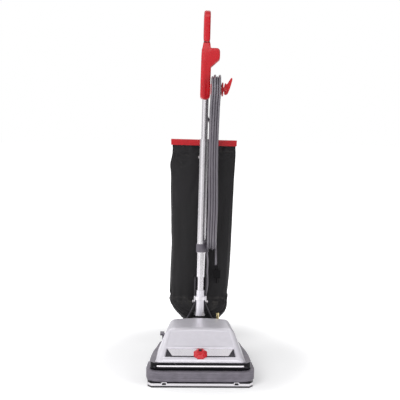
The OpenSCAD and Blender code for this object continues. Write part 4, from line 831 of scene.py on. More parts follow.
def hood_skin(values, shares, columns, inset):
    """Grid of the hood's skin, drawn in by an inset. Rows follow the middle line up the front wall, the
    slope, the deck and down the back; columns cross from the left foot over both shoulders."""
    ends = HOOD_MIDDLE + np.array([(inset, -inset), (0, -inset), (-inset, -inset)])
    middle = round_line(
        [(ends[0, 0], HOOD_FOOT), *ends, (ends[2, 0], HOOD_FOOT)], np.array([0, 3.2, 12, 12, 0]) * MM, 10
    )
    row = along_line(middle, shares * line_length(middle)[-1])
    back, high = row[:, :1], row[:, 1:]
    half = np.interp(back, HOOD_N, HOOD_HALF) - inset
    foot = np.interp(back, HOOD_N, HOOD_FOOT_HALF) - inset
    top = half - values.bevel
    # Half profile: flat top, sloping bevel, straight side, with a rounded corner at each end of the bevel
    bevel_z = high - np.minimum(0.6 * values.bevel, 0.4 * (high - HOOD_FOOT))
    ground = np.full_like(top, HOOD_FOOT)
    corners = ((0 * top, high), (top, high), (half, bevel_z), (foot, ground))
    knots = [np.concatenate(pair, 1) for pair in corners]
    size = [np.linalg.norm(q - p, axis=1, keepdims=True) for p, q in zip(knots, knots[1:])]
    turns = []
    for i, shoulder in ((1, values.shoulder), (2, 1.5 * values.shoulder)):
        reach = np.minimum(shoulder, 0.45 * np.minimum(size[i - 1], size[i]))
        before = knots[i] + (knots[i - 1] - knots[i]) / size[i - 1] * reach
        turns.append((before, knots[i], knots[i] + (knots[i + 1] - knots[i]) / size[i] * reach))
    q = np.abs(columns)[None, :, None]

    def span(low, high):
        return np.clip((q - low) / (high - low), 0, 1)

    def straight(p, r, t):
        return p[:, None] + (r - p)[:, None] * t

    def bend(p, m, r, t):
        return (1 - t) ** 2 * p[:, None] + 2 * t * (1 - t) * m[:, None] + t**2 * r[:, None]

    profile = np.select(
        [q <= TOP_END, q <= BEVEL_START, q <= BEVEL_END, q <= SIDE_START, q <= 1.0],
        [
            straight(knots[0], turns[0][0], span(0, TOP_END)),
            bend(*turns[0], span(TOP_END, BEVEL_START)),
            straight(turns[0][2], turns[1][0], span(BEVEL_START, BEVEL_END)),
            bend(*turns[1], span(BEVEL_END, SIDE_START)),
            straight(turns[1][2], knots[3], span(SIDE_START, 1)),
        ],
    )
    x, height = profile[..., 0] * np.sign(columns)[None], profile[..., 1]
    # The ridge and the deck arch up in the middle, and the ridge bows back
    arch = np.clip(1 - (x / top) ** 2, 0, 1)
    rise = smooth_step((back - 100 * MM) / (45 * MM)) * smooth_step((270 * MM - back) / (20 * MM))
    height = height + values.crown * rise * arch
    n_grid = back + 5 * MM * arch * smooth_step(1 - np.abs(back - HOOD_N[1]) / (50 * MM))
    # Rounded corners seen from above
    out = np.clip((np.abs(x) - (foot - CORNER)) / CORNER, 0, 1)
    for edge, sign in ((ends[0, 0], 1), (ends[2, 0], -1)):
        near = 1 - smooth_step(np.abs(back - edge) / (38 * MM))
        n_grid = n_grid + sign * near * CORNER * (1 - np.sqrt(1 - out**2)) * 0.8
    return x, n_grid, height, top


def build_hood(values):
    """Closed shell of the hood, with its recess and panel sunk square to the slope."""
    marks = np.array([
        (0, 4, 0.7), (RECESS_LOW / MM, 1.6, 0.35), (RECESS_HIGH / MM, 1.6, 0.35),
        (PANEL_LOW_UP / MM, 2, 0.5),
        (RIDGE_UP / MM, 14, 1.2), (BACK_UP / MM, 13, 1.3),
    ]) * MM
    length = SLOPE_START + FOOT_UP
    shares = stations(length, 5 * MM, marks + (SLOPE_START, 0, 0)) / length
    half = stations(1.0, 0.03, [(0.59, 0.03, 0.0025), (0.67, 0.05, 0.009), (0.84, 0.06, 0.012)])
    columns = np.concatenate([-half[::-1], half[1:]])
    x, n, z, top = hood_skin(values, shares, columns, 0.0)
    up = (shares * length - SLOPE_START)[:, None] * np.ones_like(x)
    across = np.abs(x)

    def step(distance, width):
        return smooth_step(distance / width + 0.5)

    # Recess for the name plate, with a step at its foot and its ends and a fillet at its head
    share = (up - RECESS_LOW) / (RECESS_HIGH - RECESS_LOW)
    end = RECESS_HALF_LOW + (RECESS_HALF_HIGH - RECESS_HALF_LOW) * share
    fillet = np.clip((RECESS_HIGH + 4.5 * MM - up) / (5.5 * MM), 0, 1)
    recess = step(up - RECESS_LOW, 1.2 * MM) * (1 - np.sqrt(1 - fillet**2)) * step(end - across, 1.6 * MM)
    # Panel above it, the rolled bar below it and the raised bar between them
    border = top - values.shoulder - 1.5 * MM
    panel = step(up - PANEL_LOW_UP, 3 * MM) * step(PANEL_HIGH_UP - up, 3 * MM)
    panel = panel * step(border - across, 3 * MM)
    fade = smooth_step((top - across) / (12 * MM))
    roll = np.sin(math.pi * np.clip(up / RECESS_LOW, 0, 1)) * fade
    bar = step(up - RECESS_HIGH - 0.5 * MM, 2 * MM) * step(RECESS_HIGH + 7.5 * MM - up, 4 * MM) * fade
    sink = values.recess * recess + values.panel * panel - values.roll * roll - 1.2 * MM * bar
    n, z = n + sink * math.sin(SLOPE), z - sink * math.cos(SLOPE)
    inner_x, inner_n, inner_z, _ = hood_skin(values, shares, columns, WALL)
    outer = np.stack([x, n, z], -1)
    inner = np.stack([inner_x, inner_n, inner_z], -1)[:, ::-1]
    points = nose_place(np.concatenate([outer, inner], 1))
    return grid_object("hood_shell", points, wrap_v=True, cap_u=True)


def thin_plate(name, low, high, base, thick, bevel):
    """Thin plate on the recess's bed between two ends (half width, place up the slope)."""
    outline = [low * (-1, 1), low, high, high * (-1, 1)]
    return prism_object(name, outline, base, base + thick, slope_place, bevel, 2)


class VACUUM_OT_hood(bpy.types.Operator):
    """Cast silver hood with its recess and name plate, and the red height dial"""

    bl_idname = "vacuum.hood"
    bl_label = "Hood"

    def execute(self, context):
        values = context.scene.vacuum_hood
        dress(build_hood(values), "base", "hood_silver", ("hood",))
        bed, bed_thick = -values.recess, 0.3 * MM
        low = np.array([RECESS_HALF_LOW - 1.4 * MM, RECESS_LOW + 0.8 * MM])
        high = np.array([RECESS_HALF_HIGH - 1.2 * MM, RECESS_HIGH - 0.8 * MM])
        # Painted shade: a dark sheet on the recess's bed round the name plate stands in for the recess's
        # shadowed ends and lower edge
        shade = thin_plate("recess_shade_sheet", low, high, bed, bed_thick, 0.1 * MM)
        dress(shade, "base", "black_plastic", material="painted_recess_shade")
        low = np.array([91 * MM, low[1] + 6 * MM])
        high = np.array([107 * MM, high[1] - 0.4 * MM])
        plate = thin_plate("name_plate", low, high, bed + bed_thick, 2.0 * MM, 0.5 * MM)
        dress(plate, "base", "name_silver", ("name_panel",))
        build_dial(values.dial)
        return {"FINISHED"}


KNOB_UP = 27.5 * MM


def build_dial(radius):
    """Red dial of eight lobes with a flat top, a black window cut in its far edge, and a raised rim."""
    # Profile as (share of the radius, height in mm)
    profile = np.array([
        (0, 0.8), (0.94, 0.8), (1.0, 3.0), (0.97, 5.2), (0.58, 11.2), (0.5, 12.2), (0.42, 11.4), (0, 11.0)
    ])
    reach = np.array([0, 0.8, 1.2, 2, 2, 1, 0.8, 0]) * MM
    profile = even_line(round_line(profile * (radius, MM), reach, 4), 64)
    window = 5.6 * MM

    def cut(points):
        """Sinks the far middle of the dial's face to a flat window."""
        inside = smooth_step((window - np.abs(points[..., 0])) / (1.2 * MM) + 0.5)
        inside = inside * smooth_step((points[..., 1] - 5 * MM) / (1.2 * MM) + 0.5)
        floor = np.minimum(points[..., 2], 6.2 * MM)
        points[..., 2] += inside * (floor - points[..., 2])
        return points

    place = shift_place(slope_place, (0.0, KNOB_UP, 0.0))
    dial = lathe_object("height_dial", profile, place, 128, 8, 0.035, cut)
    dress(dial, "knob", "red_knob", ("height_knob",))
    half = window - 0.8 * MM
    mark = [(-half, 6 * MM), (half, 6 * MM), (half * 0.8, 17.5 * MM), (-half * 0.8, 17.5 * MM)]
    mark = prism_object("dial_window", mark, 4 * MM, 7.2 * MM, place, 0.4 * MM, 2)
    dress(mark, "knob", "black_plastic")


# ---------------------------------------------------------------- nozzle front
class FrontSettings(bpy.types.PropertyGroup):
    """Bumper, front panel and trim bead."""

    bumper_round: bpy.props.FloatProperty(
        name="Bumper rounding", description="Reach of the bumper's rounded edges", default=5.5 * MM,
        unit="LENGTH",
    )
    groove: bpy.props.FloatProperty(
        name="Groove", description="Depth of the bumper's two shallow grooves", default=0.7 * MM,
        unit="LENGTH",
    )
    trim_height: bpy.props.FloatProperty(
        name="Trim height", description="Height of the bright bead on the front panel", default=6.5 * MM,
        unit="LENGTH",
    )


BUMPER_LOW, BUMPER_HIGH = 19 * MM, 51.5 * MM
PANEL_LOW, PANEL_HIGH = 51.8 * MM, 76 * MM
TRIM_MIDDLE, TRIM_HALF = 66 * MM, 141 * MM
PLAN = np.array([(0, 12), (135, 12), (152, 17), (161, 28), (163, 47), (159, 97), (157.9, 110)]) * MM


def plan_line(out, front, back, step=3 * MM):
    """Line round the nozzle's front, from the left side to the right, at a distance outside the housing.
    The housing's front stands at front and the line ends at back."""
    half = PLAN.copy()
    half[:3, 1] += front - 12 * MM
    half[3, 1] = front + 16 * MM
    if back < half[-1, 1]:
        half = np.vstack([half[:-1], [np.interp(back, half[:, 1], half[:, 0]), back]])
    half = half[half[:, 1] <= back + 1e-9]
    right = round_line(half, np.array([0] + [9] * (len(half) - 2) + [0]) * MM, 8)[1:]
    line = np.vstack([right[::-1] * [-1, 1], right])
    line = line - out * left_of(line)
    return even_line(line, int(line_length(line)[-1] / step) + 1)


class VACUUM_OT_front(bpy.types.Operator):
    """Rounded bumper, black front panel with its bright bead and screws, and the sole clips' windows"""

    bl_idname = "vacuum.front"
    bl_label = "Nozzle front"

    def execute(self, context):
        values = context.scene.vacuum_front
        self.bumper(values)
        self.panel(values)
        for side, label in ((-1, "left"), (1, "right")):
            outline = (np.array([(-7, 9.4), (7, 9.4), (5.4, 16.4), (-5.4, 16.4)]) + (side * 116, 0)) * MM
            window = prism_object(
                "clip_window_" + label, outline, 0.1 * MM, 0.6 * MM, front_place, 0.2 * MM, 2
            )
            dress(window, "base", "bright_plate", material="black_plastic")
        self.screws()
        return {"FINISHED"}

    def bumper(self, values):
        """Rounded band with two shallow grooves, carried round the nozzle 12 mm outside the housing."""
        low, high, dip = BUMPER_LOW, BUMPER_HIGH, values.groove
        section = [(0, low), (11.7 * MM, low), (11.7 * MM, high), (0, high)]
        for middle in (0.72, 0.32):
            level = low + (high - low) * middle
            for inset, above in ((0, 1.6), (dip, 0.6), (dip, -0.6), (0, -1.6)):
                section.append((inset, level + above * MM))
        reach = np.array([4, 1, 1, values.bumper_round / MM] + [0.6] * 8) * MM
        section = round_line(section, reach, 5, loop=True)
        line = plan_line(12 * MM, 12 * MM, 110 * MM)
        bumper = band_object("bumper_band", line, section, nose_place, 6 * MM)
        dress(bumper, "base", "bumper_vinyl", ("bumper",))

    def panel(self, values):
        """Black strip round the housing's front, with a bead whose face is an arc that bulges 1.7 mm."""
        line = plan_line(0.0, 16.7 * MM, 34 * MM, 1.5 * MM)
        section = [(0, PANEL_LOW), (3 * MM, PANEL_LOW), (3 * MM, PANEL_HIGH), (0, PANEL_HIGH)]
        section = round_line(section, 1.3 * MM, 5, loop=True)
        panel = band_object("panel_band", line, section, nose_place, 2 * MM)
        dress(panel, "base", "black_gloss", ("front_panel",))
        half = values.trim_height / 2
        turn = np.linspace(-1.35, 1.35, 15)
        arc = np.column_stack([-1.7 * MM * np.cos(turn), TRIM_MIDDLE + half * np.sin(turn)])
        bead = np.vstack([(0.2 * MM, TRIM_MIDDLE - half), arc, (0.2 * MM, TRIM_MIDDLE + half)])
        line = line[np.abs(line[:, 0]) < TRIM_HALF]
        trim = band_object("trim_bead", line, bead, nose_place, half)
        dress(trim, "base", "bright_plate", ("trim_strip",))

    def screws(self):
        """Pan-head screws with a cross slot, square to the panel's slanted corner."""
        turn = math.atan2(5, 17)
        profile = np.array([(4.2, 0.1), (4.2, 1.0), (2.6, 2.4), (0, 2.7)]) * MM
        profile = even_line(round_line(profile, np.array([0, 0.8, 1.2, 0]) * MM, 5), 24)

        def slot(points):
            """Cuts a cross 1 mm deep in the head."""
            near = np.abs(points[..., :2])
            cut = smooth_step((0.55 * MM - near) / (0.3 * MM) + 0.5) * (near[..., ::-1] < 2.4 * MM)
            points[..., 2] -= 1.0 * MM * cut.max(-1)
            return points

        for side, label in ((-1, "left"), (1, "right")):
            def on_corner(points, side=side):
                x = 147 * MM + points[..., 0] * math.cos(turn) + points[..., 2] * math.sin(turn)
                n = 20.2 * MM + points[..., 0] * math.sin(turn) - points[..., 2] * math.cos(turn)
                return nose_place(np.stack([side * x, n, 62 * MM + points[..., 1]], -1))

            screw = lathe_object("panel_screw_" + label, profile, on_corner, 48, shape=slot)
            dress(screw, "base", "zinc_steel", ("panel_screws",) if side < 0 else (), material="dark_screw")


# ---------------------------------------------------------------- handle
class HandleSettings(bpy.types.PropertyGroup):
    """Switch housing, grip, cord saddle and hook."""

    edge: bpy.props.FloatProperty(
        name="Edge", description="Radius of the switch housing's front edges", default=6 * MM,
        unit="LENGTH",
    )
    ridge: bpy.props.FloatProperty(
        name="Ridge", description="Height of the soft ridge down the housing's face", default=2.2 * MM,
        unit="LENGTH",
    )
    grip_width: bpy.props.FloatProperty(
        name="Grip width", description="Thickness of the grip across the machine", default=22.6 * MM,
        unit="LENGTH",
    )
    squareness: bpy.props.FloatProperty(
        name="Squareness", default=0.62,
        description="Power of the grip's rounded section, 1 for an ellipse and less for a box",
    )


HOUSING_TOP = 1003 * MM
GRIP_TOP = 1115 * MM
HOUSING_U0, HOUSING_SEAM = -17 * MM, 4 * MM
HOUSING_MIDDLE = np.array([2, 905]) * MM
SADDLE = np.array([0.0, -19, 843.6]) * MM
FLANGE_X = 54.55 * MM
HOOK_X = 61.95 * MM
HOUSING_OUTLINE = np.array([
    (-14, 811), (-4, 807), (6, 808), (14, 814), (15.5, 822), (16, 920), (19, 922), (45, 945), (46, 952),
    (46, 974), (43, 982), (37, 985), (14, 985), (11.5, 1003), (-12, 1003), (-15, 985), (-17, 979),
    (-18, 960),
    (-18.6, 880), (-18.6, 820),
]) * MM
HOUSING_REACH = np.array([5, 4, 4, 4, 4, 5, 4, 7, 4, 5, 4, 3, 2, 1.5, 1.5, 3, 3, 4, 4, 5]) * MM


def housing_crown(values):
    """Depth of the housing's face against its edges: a soft ridge left of the middle that falls away to
    both sides and fades out over the head."""

    def crown(x, w):
        right = x + 6 * MM
        ridge = np.exp(-((right / (7 * MM)) ** 2)) * (1 - 0.75 * smooth_step((w - 930 * MM) / (50 * MM)))
        steep = (4 - 3 * smooth_step((w - 925 * MM) / (25 * MM))) * MM
        fall = np.clip(right / (40 * MM), 0, 1.4) ** 2 * steep
        collar = 3 * MM * smooth_step((w - 980 * MM) / (12 * MM))
        return fall + collar - values.ridge * ridge

    return crown


def grip_loops(count):
    """Outer edge and finger hole of the grip, seen from the side as (back, height along the handle), at
    even angles about the hole's middle."""
    top = GRIP_TOP / MM
    circles = [(13, top - 26, 26), (60, top - 30, 26), (63, top - 74, 22)]
    hole = [(24, top - 34, 12), (51, top - 36, 12), (51, top - 68, 12), (24, top - 66, 12)]

    def rims(group):
        turn = around(240)
        return np.vstack([np.stack([u + r * np.cos(turn), w + r * np.sin(turn)], -1) for u, w, r in group])

    base = HOUSING_TOP / MM + 1.6
    outer = np.vstack([rims(circles), [(-13, base), (25, base), (-13.5, base + 6), (26, base)]])
    inner = rims(hole)
    middle = np.array([38.0, top - 50])
    angle = around(count)
    way = np.stack([np.cos(angle), np.sin(angle)], -1)
    return middle * MM, way, hull_reach(outer - middle, way) * MM, hull_reach(inner - middle, way) * MM


def hull_reach(points, way):
    """Distance from the origin to the edge of the points' convex hull along each direction: the least, over
    the hull's edges, of the distance to the edge's line."""
    hull = convex_hull(points)
    after = np.roll(hull, -1, 0)
    normal = unit(np.stack([after[:, 1] - hull[:, 1], hull[:, 0] - after[:, 0]], -1))
    offset = (normal * hull).sum(1)
    facing = way @ normal.T
    return np.where(facing > 1e-6, offset / np.maximum(facing, 1e-6), np.inf).min(1)


def convex_hull(points):
    """Convex hull of flat points, anticlockwise."""
    order = sorted(map(tuple, np.round(points, 6)))
    halves = []
    for run in (order, order[::-1]):
        chain = []
        for p in run:
            while len(chain) > 1 and turn_of(chain[-2], chain[-1], p) <= 0:
                chain.pop()
            chain.append(p)
        halves.append(chain[:-1])
    return np.array(halves[0] + halves[1])


def turn_of(a, b, c):
    """Above 0 where the way from a through b to c turns left."""
    return (b[0] - a[0]) * (c[1] - a[1]) - (b[1] - a[1]) * (c[0] - a[0])


class VACUUM_OT_handle(bpy.types.Operator):
    """Moulded red switch housing, closed grip, cord saddle and turning hook"""

    bl_idname = "vacuum.handle"
    bl_label = "Handle"

    def execute(self, context):
        values = context.scene.vacuum_handle
        loop = even_loop(HOUSING_OUTLINE, HOUSING_REACH, 320)
        shell = pillow_object(
            "switch_shell", loop, HOUSING_MIDDLE, HOUSING_SEAM, HOUSING_U0, values.edge,
            housing_crown(values), tube_front,
        )
        dress(shell, "handle", "red_gloss", ("switch_housing",))
        self.grip(values)
        self.saddle()
        self.hook()
        return {"FINISHED"}

    def grip(self, values):
        """Ring round the finger hole. Its section is a rounded box,
        |x / half|^(2/e) + |r / half|^(2/e) = 1."""
        middle, way, outer, inner = grip_loops(240)
        turn = around(48)
        e = values.squareness
        across = np.sign(np.cos(turn)) * np.abs(np.cos(turn)) ** e * values.grip_width / 2
        out = np.sign(np.sin(turn)) * np.abs(np.sin(turn)) ** e
        distance = (outer + inner)[:, None] / 2 + (outer - inner)[:, None] / 2 * out[None]
        flat = middle + way[:, None] * distance[..., None]
        points = np.concatenate([flat, np.broadcast_to(across[None, :, None], flat.shape[:2] + (1,))], -1)
        grip = grid_object("hand_grip", tube_side(points), wrap_u=True, wrap_v=True)
        dress(grip, "handle", "red_gloss", ("grip",), material="red_knob")
        seam = np.array([(-11, -12.5), (11, -12.5), (11, 24), (-11, 24)]) * MM
        low, high = HOUSING_TOP + 0.1 * MM, HOUSING_TOP + 3.2 * MM
        seam = prism_object("grip_seam", seam, low, high, tube_place, 1.0 * MM)
        dress(seam, "handle", "red_gloss", material="black_rubber")

    def saddle(self):
        """Half-barrel that the hank hangs over, with the flange that keeps it on."""
        place = shift_place(tube_side, (SADDLE[1], SADDLE[2], 0.0))
        barrel = np.array([(0, 16.5), (18, 16.5), (19, 18), (18.6, 34), (19, 53.4), (0, 53.4)]) * MM
        barrel = even_line(round_line(barrel, np.array([0, 1, 1, 8, 1, 0]) * MM), 60)
        dress(lathe_object("saddle_barrel", barrel, place, 72), "handle", "red_gloss", ("cord_saddle",))
        turn = np.linspace(-0.92, 0.92, 13)
        arc = np.stack([24 * np.sin(turn), 24 * np.cos(turn)], -1)
        arc = arc[np.abs(arc[:, 0]) < 21]
        outline = np.vstack([arc, -arc]) * MM
        flange = prism_object("saddle_flange", outline, FLANGE_X, FLANGE_X + 5 * MM, place, 1.6 * MM)
        dress(flange, "handle", "red_gloss")
        boss = np.array([(0, 0), (8, 0), (8, 2), (0, 2)]) * MM + (0, FLANGE_X + 4.9 * MM)
        boss = round_line(boss, np.array([0, 0.2, 0.6, 0]) * MM)
        dress(lathe_object("saddle_boss", boss, place, 40), "handle", "red_gloss")

    def hook(self):
        """Hub and arm of the hook, turned by hand to let the hank drop."""
        outline = np.array([
            (1.2, -18), (8, -19), (13.5, -15), (20.5, 4), (28.5, 34), (26.5, 41), (22, 38),
            (11, 19), (8, 17), (6.5, 21), (3, 21), (0.6, 12), (0.6, -10),
        ]) * MM
        reach = np.array([3, 4, 5, 6, 3, 2, 3, 5, 2, 3, 2, 2, 3]) * MM
        outline = round_line(outline, reach, 5, loop=True)
        place = shift_place(tube_front, (HOOK_X, SADDLE[2], SADDLE[1]))
        arm = prism_object("hook_arm", outline, -5 * MM, 5 * MM, place, 2.4 * MM, 5)
        dress(arm, "hook", "red_gloss", ("cord_hook",))
        hub = np.array([(0, 0), (9, 0), (10, 1.2), (10, 9), (8.5, 10.4), (0, 10.8)]) * MM
        hub = round_line(hub, np.array([0, 1, 1, 2, 2, 0]) * MM)
        axis = shift_place(tube_side, (SADDLE[1], SADDLE[2], HOOK_X))
        dress(lathe_object("hook_hub", hub, axis, 48), "hook", "red_gloss")


# ---------------------------------------------------------------- bag
class BagSettings(bpy.types.PropertyGroup):
    """Dust bag and its clip."""

    slack: bpy.props.FloatProperty(
        name="Slack", description="Share that the cloth is cut larger by", default=0.035
    )
    limit: bpy.props.FloatProperty(
        name="Limit", description="Most that the settling cloth may move a point", default=5 * MM,
        unit="LENGTH",
    )
    steps: bpy.props.IntProperty(name="Steps", description="Frames that the cloth settles for", default=22)


CLIP_TOP = 672 * MM
CLIP_HIGH = 21 * MM
CLIP_HALF = 114.5 * MM
BAG_U = 39 * MM
NECK_REACH, NECK_RADIUS = 62.6 * MM, 41 * MM  # from the pivot to the neck's ring, and the ring's own size
NECK_TILT = math.radians(54)  # of the neck's ring from the level
# Levels along the handle with the half widths left and right, front and back of the bag
BAG_LEVELS = np.array([
    # w, left, right, front, back
    (664.0, 110.5, 110.5, 43.5, 48.0),
    (650.0, 110.0, 111.0, 45.5, 49.5),
    (640.0, 106.0, 112.0, 46.5, 56.0),
    (631.0, 105.5, 112.5, 38.5, 62.0),
    (618.0, 112.0, 112.0, 42.0, 72.0),
    (600.0, 118.5, 111.0, 41.5, 84.0),
    (581.0, 121.0, 110.0, 40.5, 95.0),
    (560.0, 117.0, 109.0, 40.0, 106.0),
    (540.0, 115.0, 108.0, 39.8, 115.0),
    (500.0, 114.0, 108.5, 39.8, 127.0),
    (430.0, 109.5, 107.0, 39.8, 140.0),
    (350.0, 107.5, 104.5, 39.8, 144.0),
    (305.0, 104.0, 103.5, 39.8, 144.0),
    (220.0, 105.0, 101.0, 39.8, 142.0),
    (140.0, 106.5, 97.0, 40.5, 136.0),
    (104.0, 105.0, 97.0, 41.5, 130.0),
])


def eased(values):
    """Values with each moved twice towards the mean of its neighbours."""
    for _ in range(2):
        values = np.convolve(np.pad(values, 1, "edge"), (0.2, 0.6, 0.2), "valid")
    return values


def bag_grid():
    """Closed grid of the bag in the tube's frame, and the angle of each column round it. Rows run down from
    the fold under the clip to the foot, then draw in along a funnel to the ring of the neck."""
    level = np.concatenate([np.linspace(664, 616, 17), np.linspace(611, 106, 86)])
    order = BAG_LEVELS[::-1]
    left, right, front, back = (eased(np.interp(level, order[:, 0], order[:, k])) for k in (1, 2, 3, 4))
    turn = around(192)
    c, s = np.cos(turn), np.sin(turn)
    deep = (back - front)[:, None] / 2
    corner = np.clip(0.3 + deep / 150, 0.3, 0.62)
    wide = np.where(c[None] > 0, right[:, None], left[:, None])
    x = wide * np.sign(c) * np.abs(c)[None] ** corner
    u = (front + back)[:, None] / 2 + deep * np.sign(s) * np.abs(s)[None] ** (corner * 0.9)
    w = level[:, None] * np.ones_like(x)
    body = np.stack([x, u, w], -1)
    # Funnel to the neck, whose ring is square to the outlet
    reach, radius = NECK_REACH / MM, NECK_RADIUS / MM
    sine, cosine = math.sin(NECK_TILT), math.cos(NECK_TILT)
    ring = np.stack([radius * c, reach * sine + radius * s * cosine, reach * cosine - radius * s * sine], -1)
    share = np.linspace(0, 1, 22)[1:]
    last = body[-1]
    funnel = last[None] + (ring - last)[None] * share[:, None, None]
    delay = np.where(c > 0, 2.6, 1.5)[None]
    funnel[..., 0] = last[None, :, 0] + (ring - last)[None, :, 0] * share[:, None] ** delay
    sag = 5.0 * np.sin(math.pi * share)[:, None] * (last[:, 2] - ring[:, 2])[None] / 100
    funnel[..., 2] -= sag
    grid = np.concatenate([body, funnel]) * MM
    return grid, turn


# Hollows pressed into the front: middle (x, w), reach along and across, turn, and depth, in mm
FOLDS = (
    (-72, 610, 26, 4.5, -0.5, 2.6), (-58, 622, 20, 4, -0.25, 2.2), (-88, 596, 20, 5, -0.9, 2.2),
    (-66, 586, 18, 5, 0.5, 1.4), (80, 618, 26, 5, 0.3, 1.8), (-96, 556, 12, 16, 0.2, 2.0),
    (-98, 470, 8, 26, 0.1, 1.6), (-30, 500, 60, 9, 1.35, 1.2), (70, 420, 90, 10, 1.5, 1.6),
    (-70, 330, 90, 12, 1.62, 1.5), (20, 230, 80, 14, 1.4, 1.4), (-88, 230, 60, 9, 1.5, 1.6),
    (82, 200, 60, 8, 1.66, 1.6),
)


def bag_folds(grid, turn):
    """Folds that hang in the cloth: a roll under the clip, creases at the upper left, long soft folds down
    the front, and gathers round the funnel."""
    x, w = grid[..., 0] / MM, grid[..., 2] / MM
    front = np.clip(-np.sin(turn), 0, 1)[None] ** 0.3
    back = np.clip(np.sin(turn), 0, 1)[None] ** 0.5
    push = np.zeros_like(x)
    for cx, cw, along, across, angle, deep in FOLDS:
        a = (x - cx) * math.cos(angle) + (w - cw) * math.sin(angle)
        b = -(x - cx) * math.sin(angle) + (w - cw) * math.cos(angle)
        push -= deep * np.exp(-((a / along) ** 2) - (b / across) ** 2) * front
    gather = smooth_step((170 - w) / 60) * np.sin(turn * 17 + 0.6)[None] * 1.3 * smooth_step((w - 30) / 40)
    ripple = 1.2 * np.sin(x / 17 + 0.02 * w) * smooth_step((620 - w) / 60) * back
    return (1.7 * push + gather + ripple) * MM


def outward(grid):
    """Unit normals of a grid that wraps round its columns, pointing out."""
    down = np.gradient(grid, axis=0)
    side = (np.roll(grid, -1, 1) - np.roll(grid, 1, 1)) / 2
    normal = np.cross(down, side)
    normal /= np.maximum(np.linalg.norm(normal, axis=-1, keepdims=True), 1e-9)
    middle = grid.mean(1, keepdims=True)
    flip = np.sign(((grid - middle) * normal).sum(-1, keepdims=True))
    return normal * np.where(flip == 0, 1, flip)


def mesh_points(mesh):
    """Points of a mesh as rows (x, y, z)."""
    points = np.zeros(len(mesh.vertices) * 3)
    mesh.vertices.foreach_get("co", points)
    return points.reshape(-1, 3)


def settle_cloth(obj, values, rows, columns):
    """Lets the bag's cloth, cut a little large, settle under its weight with its top and neck held, caps how
    far a point moves and applies the result."""
    mesh = obj.data
    before = mesh_points(mesh)
    row = np.arange(len(before)) // columns
    held = np.maximum(1 - row / 6, 1 - (rows - 1 - row) / 30)
    group = obj.vertex_groups.new(name="held")
    for level in np.unique(row):
        weight = float(np.clip(held[row == level][0], 0, 1))
        if weight > 0:
            group.add(np.nonzero(row == level)[0].tolist(), weight, "REPLACE")
    cloth = obj.modifiers.new("Cloth", "CLOTH")
    settings = cloth.settings
    settings.quality = 6
    settings.mass = 0.4
    settings.tension_stiffness = settings.compression_stiffness = 18
    settings.shear_stiffness = 8
    settings.bending_stiffness = 0.6
    settings.vertex_group_mass = "held"
    settings.shrink_min = settings.shrink_max = -values.slack
    settings.use_pressure = True
    settings.uniform_pressure_force = 0.12
    settings.effector_weights.gravity = 0.5
    cloth.collision_settings.use_collision = False
    cloth.collision_settings.use_self_collision = False
    scene = bpy.context.scene
    scene.frame_start = 1
    scene.frame_end = values.steps
    cloth.point_cache.frame_start, cloth.point_cache.frame_end = 1, values.steps
    for frame_number in range(1, values.steps + 1):
        scene.frame_set(frame_number)
    move = mesh_points(obj.evaluated_get(bpy.context.evaluated_depsgraph_get()).data) - before
    size = np.maximum(np.linalg.norm(move, axis=1, keepdims=True) / values.limit, 1e-9)
    move *= np.tanh(size) / size
    obj.modifiers.remove(cloth)
    scene.frame_set(1)
    mesh.vertices.foreach_set("co", (before + move).ravel())
    mesh.update()


class VACUUM_OT_bag(bpy.types.Operator):
    """Black cloth dust bag from its clip to the exhaust neck, and the red clip"""

    bl_idname = "vacuum.bag"
    bl_label = "Bag"

    def execute(self, context):
        values = context.scene.vacuum_bag
        grid, turn = bag_grid()
        rows, columns = grid.shape[:2]
        # The cloth is laid out by the distance round a row in the middle of the bag
        uv = np.stack([np.broadcast_to(line_length(grid[40]), (rows, columns)), grid[..., 2]], -1)
        folds = bag_folds(grid, turn)
        bag = grid_object("cloth_bag", tube_place(grid), wrap_v=True, cap_u=True, uv=uv)
        settle_cloth(bag, values, rows, columns)
        points = mesh_points(bag.data).reshape(rows, columns, 3)
        points = points + outward(points) * folds[..., None]
        bag.data.vertices.foreach_set("co", points.ravel())
        bag.data.update()
        dress(bag, None, "bag_cloth", ("bag",))
        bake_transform(bag)
        self.clip()
        return {"FINISHED"}

    def clip(self):
        """Channel that slides over the bag's folded top, with rounded edges."""
        low, high = CLIP_TOP - CLIP_HIGH, CLIP_TOP
        u0, u1 = BAG_U, BAG_U + 14 * MM
        side, top = 2.4 * MM, 3.6 * MM
        section = [
            (u0, low), (u0 + side, low), (u0 + side, high - top), (u1 - side, high - top),
            (u1 - side, low), (u1, low), (u1, high), (u0, high),
        ]
        section = round_line(section, np.array([0.8, 0.8, 1, 1, 0.8, 0.8, 3, 3]) * MM, 5, loop=True)
        clip = prism_object("clip_channel", section, -CLIP_HALF, CLIP_HALF, tube_side, 0.9 * MM, 3)
        dress(clip, "clip", "red_gloss", ("bag_clip",))


